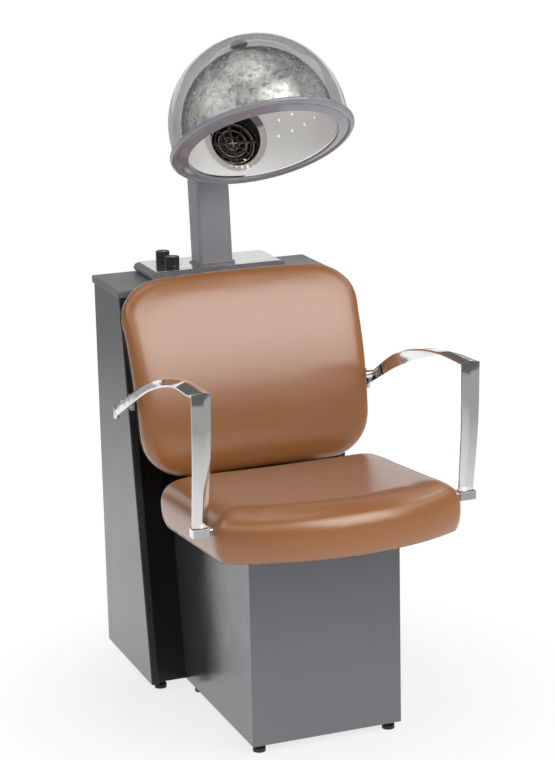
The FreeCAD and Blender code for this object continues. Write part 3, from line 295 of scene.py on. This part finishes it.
def build_studio():
    """Dark wall behind the lens and at the sides, dark ceiling, and a valance of dark cloth
    high over the white backdrop, which give metal its contrast."""
    place_camera()
    light_world()
    studio_floor()
    cloth = dark_cloth()
    hung_cloth("studio_wall", cloth, 0.0,
               lambda co: co.y > WALL_END_Y and co.x > WALL_END_X)
    studio_ceiling(cloth)
    hung_cloth("studio_valance", cloth, VALANCE_FOOT, lambda co: co.y < VALANCE_FROM_Y)
    for softbox in SOFTBOXES:
        studio_light(*softbox)
    bpy.context.scene.view_settings.view_transform = "Standard"


# ---------------------------------------------------------------- finishes
HOOD_CENTRE = (0.0, 0.03184, 1.26453)
# Cosines between the eased and the flat normal where an arris starts, and where it is full.
ARRIS_STARTS = 0.97
ARRIS_FULL = 0.8
ARRIS_SAMPLES = 4


def toned(colour, factor, lift=0.0):
    """A lighter or darker version of a colour."""
    return tuple(min(1, factor * c + lift) for c in colour)


class Finish(Tree):
    """A node material on Object coordinates, built up layer by layer."""

    def __init__(self, name, colour, roughness, **sockets):
        self.material = bpy.data.materials.new(name)
        self.material.use_nodes = True
        super().__init__(self.material.node_tree)
        self.shader = self.nodes["Principled BSDF"]
        self.shader.inputs["Base Color"].default_value = (*colour, 1)
        self.shader.inputs["Roughness"].default_value = roughness
        for socket, value in sockets.items():
            self.shader.inputs[socket.replace("_", " ")].default_value = value
        self.place = self.nodes.new("ShaderNodeTexCoord").outputs["Object"]
        self.normal = None

    def stretched(self, x, y, z):
        mapping = self.nodes.new("ShaderNodeMapping")
        mapping.inputs["Scale"].default_value = (x, y, z)
        self.links.new(self.place, mapping.inputs["Vector"])
        return mapping.outputs["Vector"]

    def noise(self, scale, detail=3.0, rough=0.5, along=None):
        texture = self.nodes.new("ShaderNodeTexNoise")
        texture.inputs["Scale"].default_value = scale
        texture.inputs["Detail"].default_value = detail
        texture.inputs["Roughness"].default_value = rough
        self.links.new(along or self.place, texture.inputs["Vector"])
        return texture.outputs["Fac"]

    def cells(self, scale):
        texture = self.nodes.new("ShaderNodeTexVoronoi")
        texture.inputs["Scale"].default_value = scale
        self.links.new(self.place, texture.inputs["Vector"])
        return texture.outputs["Distance"]

    def tint(self, value, colour):
        """Blend the colour so far towards another where value is 1."""
        socket = self.shader.inputs["Base Color"]
        mix = self.nodes.new("ShaderNodeMix")
        mix.data_type = "RGBA"
        factor, first, second = mix.inputs[0], mix.inputs[6], mix.inputs[7]
        self.links.new(value, factor)
        if socket.is_linked:
            self.links.new(socket.links[0].from_socket, first)
        else:
            first.default_value = socket.default_value
        second.default_value = (*colour, 1)
        self.links.new(mix.outputs[2], socket)

    def mottled(self, colour, scale, low, high, share=1.0, detail=3.0, rough=0.5):
        """Patches of another colour, up to this share of it, where noise exceeds low."""
        self.tint(self.ranged(self.noise(scale, detail, rough), low, high, 0.0, share), colour)

    def gloss(self, value, low, high):
        """Roughness between two values as value goes from a quarter to three quarters."""
        self.links.new(self.ranged(value, 0.25, 0.75, low, high), self.shader.inputs["Roughness"])

    def bump(self, value, depth):
        relief = self.nodes.new("ShaderNodeBump")
        relief.inputs["Strength"].default_value = 1.0
        relief.inputs["Distance"].default_value = depth
        self.links.new(value, relief.inputs["Height"])
        if self.normal is not None:
            self.links.new(self.normal, relief.inputs["Normal"])
        self.normal = relief.outputs["Normal"]
        self.links.new(self.normal, self.shader.inputs["Normal"])

    def inner_face(self, centre):
        """1 on faces that look towards the centre, 0 on the others."""
        spoke = self.vector_maths("SUBTRACT", self.place, centre, output="Vector")
        facing = self.nodes.new("ShaderNodeTexCoord").outputs["Normal"]
        return self.ranged(self.vector_maths("DOT_PRODUCT", spoke, facing), 0.01, -0.01)

    def soft_edges(self, radius):
        """Eased arrises.  Gives 1 along them and 0 elsewhere."""
        bevel = self.nodes.new("ShaderNodeBevel")
        bevel.samples = ARRIS_SAMPLES
        bevel.inputs["Radius"].default_value = radius
        self.normal = bevel.outputs["Normal"]
        self.links.new(self.normal, self.shader.inputs["Normal"])
        flat = self.nodes.new("ShaderNodeNewGeometry").outputs["Normal"]
        cosine = self.vector_maths("DOT_PRODUCT", self.normal, flat)
        return self.ranged(cosine, ARRIS_STARTS, ARRIS_FULL)


def laminate(name, colour, worn, roughness, metallic=0.0, arris=0.0012):
    finish = Finish(name, colour, roughness, Specular_IOR_Level=0.4, Metallic=metallic)
    edge = finish.soft_edges(arris)
    finish.mottled(worn, 3.0, 0.3, 0.8, share=0.16, detail=2.0)
    finish.mottled(worn, 900.0, 0.62, 0.8, share=0.12, detail=2.0, rough=0.6)
    finish.tint(edge, toned(worn, 1.7))
    finish.gloss(finish.noise(9.0, 4.0, 0.6), roughness - 0.05, roughness + 0.07)
    finish.bump(finish.noise(420.0, 2.0), 0.00002)
    return finish.material


def painted_metal(name, colour, roughness, grain=700.0):
    finish = Finish(name, colour, roughness, Specular_IOR_Level=0.5)
    edge = finish.soft_edges(0.001)
    finish.mottled(toned(colour, 0.72), 5.0, 0.35, 0.75, share=0.2)
    finish.tint(edge, toned(colour, 1.5, 0.02))
    finish.gloss(finish.noise(14.0, 4.0, 0.6), roughness - 0.06, roughness + 0.06)
    finish.bump(finish.noise(grain, 2.0), 0.00005)
    return finish.material


def moulded(name, colour, roughness, pebble=500.0, depth=0.00008, **sockets):
    finish = Finish(name, colour, roughness, Specular_IOR_Level=0.45, **sockets)
    finish.soft_edges(0.0006)
    finish.mottled(toned(colour, 1.35, 0.01), 40.0, 0.4, 0.7, share=0.3, detail=4.0)
    finish.gloss(finish.noise(60.0, 4.0), roughness - 0.05, roughness + 0.08)
    finish.bump(finish.cells(pebble), depth)
    return finish.material


def lid_texture():
    """Fine textured grey of the lid board."""
    finish = Finish("lid_textured_grey", (0.19, 0.188, 0.197), 0.42, Specular_IOR_Level=0.5)
    edge = finish.soft_edges(0.0015)
    finish.mottled((0.32, 0.32, 0.33), 1100.0, 0.5, 0.72, share=0.55, detail=2.0, rough=0.7)
    finish.mottled((0.07, 0.07, 0.075), 6.0, 0.3, 0.8, share=0.3)
    finish.tint(edge, (0.3, 0.3, 0.31))
    finish.gloss(finish.noise(12.0, 4.0), 0.32, 0.46)
    finish.bump(finish.cells(650.0), 0.00012)
    return finish.material


def polished_chrome():
    tone, roughness = 0.86, 0.05
    finish = Finish("polished_chrome", (tone, tone, tone * 0.985), roughness, Metallic=1.0)
    finish.soft_edges(0.0008)
    finish.mottled((tone * 0.82, tone * 0.81, tone * 0.8), 30.0, 0.45, 0.8, share=0.35,
                   detail=4.0, rough=0.6)
    finish.gloss(finish.noise(90.0, 5.0, 0.7), roughness, roughness + 0.05)
    finish.bump(finish.noise(160.0, 3.0), 0.000012)
    return finish.material


def brushed(name, tone, roughness):
    """Metal with fine lines that run along X."""
    finish = Finish(name, (tone, tone, tone * 0.99), roughness, Metallic=1.0)
    finish.soft_edges(0.0006)
    lines = finish.noise(1.0, 4.0, 0.7, finish.stretched(4.0, 260.0, 260.0))
    finish.tint(finish.ranged(lines, 0.35, 0.7, 0.0, 0.5), (tone * 0.72,) * 3)
    finish.gloss(lines, roughness - 0.06, roughness + 0.1)
    finish.bump(lines, 0.00002)
    return finish.material


def dome_metal():
    """Spun perforated dome: streaked bright metal outside, satin inside."""
    finish = Finish("bright_dome_metal", (0.56, 0.556, 0.542), 0.2, Metallic=0.9,
                    Specular_Tint=(0.2, 0.2, 0.2, 1))
    streak = finish.noise(17.0, 4.0, 0.6, finish.stretched(1.0, 1.0, 0.14))
    finish.tint(finish.ranged(streak, 0.42, 0.62, 0.0, 0.8), (0.33, 0.328, 0.32))
    finish.mottled((0.09, 0.09, 0.088), 85.0, 0.47, 0.62, share=0.7, detail=5.0, rough=0.75)
    inner = finish.inner_face(HOOD_CENTRE)
    finish.tint(inner, (0.95, 0.95, 0.94))
    finish.feed(finish.shader.inputs["Metallic"], finish.ranged(inner, 0.0, 1.0, 0.9, 0.15))
    finish.gloss(finish.noise(25.0, 4.0, 0.6), 0.18, 0.32)
    rough = finish.shader.inputs["Roughness"]
    outer_rough, inner_extra = rough.links[0].from_socket, 0.1
    finish.feed(rough, finish.maths("MULTIPLY_ADD", inner, inner_extra, outer_rough))
    finish.bump(finish.noise(11.0, 1.0, 0.5, finish.stretched(1.0, 1.0, 0.3)), 0.0012)
    finish.bump(finish.noise(380.0, 3.0), 0.00003)
    return finish.material


def clear_shell():
    """Smoke-grey clear plastic of the outer dome, darker towards its outline: partly its own tint
    over the longer path, partly a painted reflection of the dark studio.
    """
    finish = Finish("clear_dome_plastic", (0.93, 0.935, 0.925), 0.03, Transmission_Weight=1.0,
                    IOR=1.46, Specular_IOR_Level=0.5)
    finish.gloss(finish.noise(70.0, 5.0, 0.7), 0.02, 0.07)
    finish.mottled((0.87, 0.87, 0.875), 6.0, 0.4, 0.7, share=0.4)
    # Painted reflection: the colour darkens at grazing angles for the dark studio seen there, and
    # partly for the plastic's own tint over the longer path.
    grazing = finish.nodes.new("ShaderNodeLayerWeight")
    grazing.inputs["Blend"].default_value = 0.5
    finish.tint(finish.ranged(grazing.outputs["Facing"], 0.2, 0.55), (0.4, 0.404, 0.4))
    finish.bump(finish.noise(18.0, 2.0), 0.0001)
    return finish.material


def caramel_vinyl():
    """Coated upholstery vinyl: close leather grain and a satin coat."""
    finish = Finish("caramel_vinyl_cloth", (0.33, 0.125, 0.036), 0.5, Specular_IOR_Level=0.1,
                    Coat_Weight=1.0, Coat_Roughness=0.27, Coat_IOR=1.78)
    finish.mottled((0.285, 0.104, 0.028), 5.0, 0.3, 0.75, share=0.5, rough=0.55)
    pores = finish.cells(820.0)
    finish.tint(finish.ranged(pores, 0.0, 0.35, 0.35, 0.0), (0.2, 0.07, 0.028))
    finish.gloss(finish.noise(34.0, 4.0, 0.6), 0.3, 0.42)
    finish.bump(finish.noise(45.0, 3.0, 0.5), 0.0004)
    finish.bump(finish.ranged(pores, 0.0, 0.5), 0.0001)
    finish.bump(finish.noise(1500.0, 2.0), 0.00003)
    return finish.material


def welt_vinyl():
    finish = Finish("black_welt_vinyl", (0.012, 0.011, 0.011), 0.4, Specular_IOR_Level=0.5)
    finish.mottled((0.03, 0.028, 0.027), 60.0, 0.4, 0.7, share=0.4, detail=4.0)
    finish.gloss(finish.noise(90.0, 3.0), 0.33, 0.5)
    finish.bump(finish.cells(900.0), 0.00008)
    return finish.material


def particle_board():
    finish = Finish("particle_board", (0.36, 0.25, 0.15), 0.8)
    chips = finish.cells(260.0)
    finish.tint(finish.ranged(chips, 0.1, 0.6), (0.2, 0.13, 0.075))
    finish.mottled((0.52, 0.4, 0.27), 420.0, 0.5, 0.7)
    finish.bump(chips, 0.0003)
    return finish.material


def foot_rubber():
    finish = Finish("foot_rubber", (0.02, 0.02, 0.021), 0.62)
    finish.soft_edges(0.001)
    finish.mottled((0.06, 0.058, 0.055), 50.0, 0.45, 0.75, share=0.6, detail=4.0)
    finish.gloss(finish.noise(80.0), 0.55, 0.72)
    finish.bump(finish.noise(520.0, 3.0), 0.0001)
    return finish.material


def mica_and_wire():
    finish = Finish("heater_mica", (0.5, 0.4, 0.26), 0.35, Specular_IOR_Level=0.6)
    finish.mottled((0.62, 0.52, 0.38), 90.0, 0.4, 0.7, detail=4.0)
    finish.gloss(finish.noise(140.0), 0.25, 0.5)
    finish.bump(finish.noise(300.0), 0.00008)
    return finish.material


def mark_paint(name, colour):
    finish = Finish(name, colour, 0.45)
    finish.mottled(toned(colour, 0.6, 0.02), 900.0, 0.5, 0.8, share=0.4)
    finish.gloss(finish.noise(300.0), 0.38, 0.55)
    return finish.material


def dress_cad_nodes():
    """Give every CAD node its finish, and return those that the added pieces share."""
    charcoal = laminate("graphite_laminate_board", (0.2, 0.197, 0.215), (0.25, 0.248, 0.265),
                        roughness=0.2, metallic=0.82)
    black = laminate("black_laminate_board", (0.0035, 0.0035, 0.004), (0.014, 0.014, 0.015),
                     roughness=0.24)
    column_paint = laminate("column_graphite_paint", (0.38, 0.377, 0.41), (0.42, 0.416, 0.45),
                            roughness=0.22, metallic=0.4, arris=0.0004)
    steel_black = painted_metal("black_coated_steel", (0.035, 0.035, 0.036), roughness=0.4)
    plastic = moulded("black_moulded_plastic", (0.028, 0.028, 0.029), roughness=0.38)
    rim = moulded("rim_plum_grey_plastic", (0.23, 0.226, 0.255), roughness=0.13,
                  pebble=900.0, depth=0.00001, Coat_Weight=1.0, Coat_Roughness=0.06)
    knob = moulded("knob_black_plastic", (0.034, 0.034, 0.036), roughness=0.34)
    bullnose = moulded("console_grey_plastic", (0.2, 0.2, 0.208), roughness=0.28,
                       pebble=700.0, depth=0.00005)
    bright = brushed("bright_console_plate", tone=0.82, roughness=0.16)
    steel = brushed("plain_steel", tone=0.55, roughness=0.28)
    casting = painted_metal("cast_alloy_paint", (0.13, 0.128, 0.136), roughness=0.42,
                            grain=420.0)
    chrome = polished_chrome()
    vinyl = caramel_vinyl()
    welt = welt_vinyl()
    looks = {
        charcoal: ["cabinet_side_left", "cabinet_side_right", "cabinet_back_panel",
                   "cabinet_bottom", "base_side_left", "base_side_right", "base_front_panel",
                   "base_bottom"],
        black: ["cabinet_front_panel", "base_top"],
        column_paint: ["column_tube"],
        steel_black: ["back_uprights", "guide_rail", "column_guide", "fan_guard"],
        plastic: ["cabinet_edge_mouldings", "column_lower_bush", "fan_housing", "fan_impeller",
                  "timer_body", "thermostat_body", "cord_grommet"],
        rim: ["rim_ring"],
        knob: ["timer_knob", "heat_knob", "dome_cap"],
        bullnose: ["console_housing", "column_collar"],
        lid_texture(): ["cabinet_lid"],
        bright: ["console_plate"],
        steel: ["panel_screws", "hinge_pin", "fan_motor", "arm_rear_plates"],
        casting: ["hinge_yoke", "hinge_knuckle"],
        chrome: ["arm_right", "arm_left", "arm_foot_brackets", "port_ring"],
        dome_metal(): ["inner_dome"],
        clear_shell(): ["outer_dome"],
        mica_and_wire(): ["heater_element"],
        particle_board(): ["seat_frame", "backrest_board"],
        foot_rubber(): ["levelling_feet"],
        vinyl: ["seat_cushion", "backrest_cushion", "backrest_shell"],
        welt: ["backrest_welt"],
    }
    for material, names in looks.items():
        for name in names:
            for slot in NODES[name].material_slots:
                slot.material = material
    return {"vinyl": vinyl, "welt": welt, "chrome": chrome, "rim": rim}


# -------------------------------------------------------------- upholstery
STUFFING_PRESSURE = 4.0
CLOTH_SHRINK = 0.012
CLOTH_QUALITY = 5
CLOTH_FRAMES = 20
SEAT_TILT = math.radians(5.0)
SEAT_REAR = Vector((0.0, ahead(0.440), 0.441))
SEAT_HELD_HEIGHT = 0.004
BACK_AXIS = Vector((0.0, ahead(-0.373773), 0.520))
BACK_SEAM_RADIUS = 0.722
BACK_HELD_DEPTH = 0.004
REAR_COVER_FREE_DEPTH = 0.006
WELT_FLAT = math.radians(2)
WELT_EDGE = math.radians(50)
WELT_EDGE_RADIUS = 0.0018


def baked(piece):
    """The piece with its modifiers made part of its mesh."""
    shape = piece.evaluated_get(bpy.context.evaluated_depsgraph_get())
    mesh = bpy.data.meshes.new_from_object(shape)
    piece.modifiers.clear()
    piece.data = mesh
    return piece


def pad_blank(name, node, voxel, whole=False):
    """Closed, evenly meshed blank of a pad from its CAD solid, or from the solid's convex
    outline if whole is true."""
    bm = merged_copy(node)
    if whole:
        wrap = bmesh.ops.convex_hull(bm, input=bm.verts, use_existing_faces=False)
        spare = {e for e in wrap["geom_interior"] + wrap["geom_unused"]
                 if isinstance(e, bmesh.types.BMVert)}
        bmesh.ops.delete(bm, geom=list(spare), context="VERTS")
        kept = set(wrap["geom"])
        bmesh.ops.delete(bm, geom=[f for f in bm.faces if f not in kept], context="FACES_ONLY")
    piece = new_piece(name, bm)
    even = piece.modifiers.new("even", "REMESH")
    even.mode = "VOXEL"
    even.voxel_size = voxel
    return baked(piece)


def eased(piece, held, times):
    """Rounds the blank's edges, and leaves the held side where it is."""
    bm = bmesh.new()
    bm.from_mesh(piece.data)
    free = [v for v in bm.verts if not held(v.co)]
    for _ in range(times):
        bmesh.ops.smooth_vert(bm, verts=free, factor=0.5, use_axis_x=True, use_axis_y=True,
                              use_axis_z=True)
    bm.to_mesh(piece.data)
    bm.free()


def let_out(piece, held, amount):
    """Moves the free side out along its normals, or in if the amount is negative."""
    mesh = piece.data
    moved = [v.co + v.normal * (0.0 if held(v.co) else amount) for v in mesh.vertices]
    for vertex, place in zip(mesh.vertices, moved):
        vertex.co = place


def swelled(piece, held, cap, evened):
    """Cloth cover under pressure over its stuffing: it fills out, never in, and no point moves
    further than the cap.  The rise is then evened out between neighbours."""
    start = [v.co.copy() for v in piece.data.vertices]
    outward = [v.normal.copy() for v in piece.data.vertices]
    pairs = numpy.array([edge.vertices[:] for edge in piece.data.edges])
    group = piece.vertex_groups.new(name="held")
    group.add([i for i, co in enumerate(start) if held(co)], 1.0, "REPLACE")
    cover = piece.modifiers.new("cover", "CLOTH")
    cover.settings.use_pressure = True
    cover.settings.uniform_pressure_force = STUFFING_PRESSURE
    cover.settings.effector_weights.gravity = 0.0
    cover.settings.vertex_group_mass = "held"
    cover.settings.shrink_min = CLOTH_SHRINK
    cover.settings.quality = CLOTH_QUALITY
    cover.point_cache.frame_start = 1
    cover.point_cache.frame_end = CLOTH_FRAMES
    scene = bpy.context.scene
    for step in range(1, CLOTH_FRAMES + 1):
        scene.frame_set(step)
    shape = piece.evaluated_get(bpy.context.evaluated_depsgraph_get()).to_mesh()
    ends = [v.co.copy() for v in shape.vertices]
    piece.modifiers.clear()
    piece.vertex_groups.clear()
    scene.frame_set(1)
    rises = numpy.array([min(cap, max(0.0, (end - begin).dot(normal)))
                         for begin, end, normal in zip(start, ends, outward)])
    neighbours = numpy.bincount(pairs.ravel(), minlength=len(rises))
    for _ in range(evened):
        around = numpy.bincount(pairs[:, 0], rises[pairs[:, 1]], len(rises))
        around += numpy.bincount(pairs[:, 1], rises[pairs[:, 0]], len(rises))
        rises = 0.5 * rises + 0.5 * around / neighbours
    for vertex, begin, normal, rise in zip(piece.data.vertices, start, outward, rises):
        vertex.co = begin + normal * float(rise)


def upholstered(piece, material, node):
    smooth = piece.modifiers.new("smooth", "SUBSURF")
    smooth.levels = smooth.render_levels = 1
    smooth_shaded(piece, material)
    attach(piece, "frame")
    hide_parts(node)


def seat_pad(material):
    def underside(co):
        offset = co - SEAT_REAR
        height = offset.z * math.cos(SEAT_TILT) + offset.y * math.sin(SEAT_TILT)
        return height < SEAT_HELD_HEIGHT

    pad = pad_blank("seat_pad", "seat_cushion", voxel=0.006, whole=True)
    eased(pad, underside, times=5)
    let_out(pad, underside, amount=-0.001)
    swelled(pad, underside, cap=0.010, evened=14)
    eased(pad, underside, times=4)
    upholstered(pad, material, "seat_cushion")


def back_radius_at(co):
    """Distance from the axis that the backrest is curved about."""
    return math.hypot(co.y - BACK_AXIS.y, co.z - BACK_AXIS.z)


def backrest_pad(material):
    def seam_side(co):
        return back_radius_at(co) < BACK_SEAM_RADIUS + BACK_HELD_DEPTH

    pad = pad_blank("backrest_pad", "backrest_cushion", voxel=0.005)
    eased(pad, seam_side, times=22)
    let_out(pad, seam_side, amount=0.002)
    swelled(pad, seam_side, cap=0.003, evened=60)
    eased(pad, seam_side, times=4)
    upholstered(pad, material, "backrest_cushion")


def backrest_rear_cover(material):
    def board_side(co):
        return back_radius_at(co) > BACK_SEAM_RADIUS - REAR_COVER_FREE_DEPTH

    cover = pad_blank("backrest_rear_cover", "backrest_shell", voxel=0.004)
    eased(cover, board_side, times=6)
    upholstered(cover, material, "backrest_shell")


def backrest_piping(material):
    """Welt between the front pad and the rear cover, rounded like a cord."""
    bm = merged_copy("backrest_welt")
    bmesh.ops.dissolve_limit(bm, angle_limit=WELT_FLAT, verts=bm.verts, edges=bm.edges)
    arris = [e for e in bm.edges if len(e.link_faces) == 2
             and e.calc_face_angle(0.0) > WELT_EDGE]
    round_off(bm, arris, WELT_EDGE_RADIUS, segments=4)
    piping = new_piece("backrest_piping", bm)
    smooth_shaded(piping, material)
    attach(piping, "frame")
    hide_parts("backrest_welt")


# -------------------------------------------------------------------- hood
HOOD_TILT = math.radians(-34.0)
RIM_STEPS = 120
# Radius from the hood's axis, and height over the plane of its opening.
RIM_PROFILE = [(0.1646, 0.0040), (0.1646, -0.0030), (0.1656, -0.0046), (0.1674, -0.0050),
               (0.1700, -0.0044), (0.1740, -0.0030), (0.1820, -0.0010), (0.1870, 0.0004),
               (0.1886, 0.0018), (0.1900, 0.0018), (0.1914, 0.0002), (0.1940, -0.0010),
               (0.1972, -0.0008), (0.2006, 0.0008), (0.2032, 0.0036), (0.2044, 0.0066),
               (0.2036, 0.0094), (0.2012, 0.0110), (0.1978, 0.0116), (0.1946, 0.0112),
               (0.1946, 0.0040)]


def rim_trim(material):
    """Moulded ring under both domes: inner lip, sloping band, groove and bead."""
    bm = bmesh.new()
    corners = [bm.verts.new((radius, 0, height)) for radius, height in RIM_PROFILE]
    outline = [bm.edges.new(pair) for pair in zip(corners, corners[1:] + corners[:1])]
    bmesh.ops.spin(bm, geom=corners + outline, cent=(0, 0, 0), axis=(0, 0, 1),
                   angle=math.tau, steps=RIM_STEPS, use_merge=True)
    bmesh.ops.recalc_face_normals(bm, faces=bm.faces)
    bmesh.ops.rotate(bm, verts=bm.verts, cent=(0, 0, 0),
                     matrix=Matrix.Rotation(HOOD_TILT, 3, "X"))
    bmesh.ops.translate(bm, verts=bm.verts, vec=HOOD_CENTRE)
    trim = new_piece("rim_trim", bm)
    rounder = trim.modifiers.new("round", "SUBSURF")
    rounder.levels = rounder.render_levels = 1
    smooth_shaded(trim, material)
    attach(trim, "hood")
    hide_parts("rim_ring")


# ----------------------------------------------------------- knob markings
POINTER_WIDTH = 0.0018
POINTER_HEIGHT = 0.0008
POINTER_RISE = 0.0003
# Shares of the knob's radius.
POINTER_LENGTH = 0.55
POINTER_REACH = 0.62
MARK_WIDTH = 0.0006
MARK_HEIGHT = 0.0002
MARK_RISE = 0.0001
MARK_LENGTH = 0.0022
LONG_MARK_LENGTH = 0.0034
LONG_MARK_EVERY = 5
MARK_CLEARANCE = 0.0022
# Share of a bar's height.
BAR_EASE = 0.3


def thin_bar(length, width, height):
    """Mesh of a thin bar along Y with eased edges."""
    bm = bmesh.new()
    bmesh.ops.create_cube(bm, size=1.0)
    bmesh.ops.scale(bm, verts=bm.verts, vec=(width, length, height))
    round_off(bm, bm.edges[:], BAR_EASE * height, segments=2)
    return bm


def knob_outline(node):
    """X and Y of the knob's axis, its radius, and the height of its top."""
    low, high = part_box(node)
    return (low[0] + high[0]) / 2, (low[1] + high[1]) / 2, (high[0] - low[0]) / 2, high[2]


def knob_pointer(name, node, body, material):
    """Raised line on the knob's top, towards the sitter at rest."""
    x, y, radius, top = knob_outline(node)
    bm = thin_bar(POINTER_LENGTH * radius, POINTER_WIDTH, POINTER_HEIGHT)
    bmesh.ops.translate(bm, verts=bm.verts,
                        vec=(x, y - POINTER_REACH * radius, top + POINTER_RISE))
    pointer = new_piece(name, bm)
    pointer.data.materials.append(material)
    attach(pointer, body)


def knob_scale(name, node, marks, sweep, material):
    """Marks on the plate round a knob, clockwise over its sweep."""
    x, y, radius, _ = knob_outline(node)
    inside = radius + MARK_CLEARANCE
    plate_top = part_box("console_plate")[1][2]
    bm = bmesh.new()
    for step in range(marks):
        length = MARK_LENGTH if step % LONG_MARK_EVERY else LONG_MARK_LENGTH
        part = thin_bar(length, MARK_WIDTH, MARK_HEIGHT)
        bmesh.ops.translate(part, verts=part.verts,
                            vec=(0, -inside - length / 2, plate_top + MARK_RISE))
        turn = Matrix.Rotation(math.radians(-sweep * step / (marks - 1)), 3, "Z")
        bmesh.ops.rotate(part, verts=part.verts, cent=(0, 0, 0), matrix=turn)
        bmesh.ops.translate(part, verts=part.verts, vec=(x, y, 0))
        mesh = bpy.data.meshes.new("mark")
        part.to_mesh(mesh)
        part.free()
        bm.from_mesh(mesh)
        bpy.data.meshes.remove(mesh)
    scale = new_piece(name, bm)
    scale.data.materials.append(material)
    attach(scale, "frame")


# -------------------------------------------------------------- chrome arms
ARM_FLAT = math.radians(1.5)
ARM_RIDGE = (math.radians(17), math.radians(46))
ARM_RIDGE_LENGTH = 0.006
ARM_RIDGE_RADIUS = 0.006
ARM_EDGE = math.radians(50)
ARM_EDGE_RADIUS = 0.001
ARM_CREASE = math.radians(32)


def chrome_arm(name, node, material):
    """Flat-forged arm with its ridge blended to a crown and its edges eased."""
    bm = merged_copy(node)
    bmesh.ops.dissolve_limit(bm, angle_limit=ARM_FLAT, verts=bm.verts, edges=bm.edges)
    ridge = [e for e in bm.edges if ARM_RIDGE[0] < e.calc_face_angle(0.0) < ARM_RIDGE[1]
             and e.calc_length() > ARM_RIDGE_LENGTH]
    round_off(bm, ridge, ARM_RIDGE_RADIUS, segments=5, clamped=True)
    sharp = [e for e in bm.edges if e.calc_face_angle(0.0) > ARM_EDGE]
    round_off(bm, sharp, ARM_EDGE_RADIUS, segments=3, clamped=True)
    arm = new_piece(name, bm)
    smooth_shaded(arm, material)
    arm.data.set_sharp_from_angle(angle=ARM_CREASE)
    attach(arm, "frame")
    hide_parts(node)


# ------------------------------------------------------------------- build
# Number of marks, and the knob's range in degrees.
TIMER_MARKS, TIMER_SWEEP = 13, 300.0
HEAT_MARKS, HEAT_SWEEP = 11, 270.0

build_studio()
finishes = dress_cad_nodes()
seat_pad(finishes["vinyl"])
backrest_pad(finishes["vinyl"])
backrest_rear_cover(finishes["vinyl"])
backrest_piping(finishes["welt"])
rim_trim(finishes["rim"])
white_paint = mark_paint("pointer_white", (0.78, 0.78, 0.76))
black_paint = mark_paint("scale_black", (0.03, 0.03, 0.032))
knob_pointer("timer_pointer", "timer_knob", "timer", white_paint)
knob_pointer("heat_pointer", "heat_knob", "heat", white_paint)
knob_scale("timer_scale", "timer_knob", TIMER_MARKS, TIMER_SWEEP, black_paint)
knob_scale("heat_scale", "heat_knob", HEAT_MARKS, HEAT_SWEEP, black_paint)
chrome_arm("chrome_arm_right", "arm_right", finishes["chrome"])
chrome_arm("chrome_arm_left", "arm_left", finishes["chrome"])
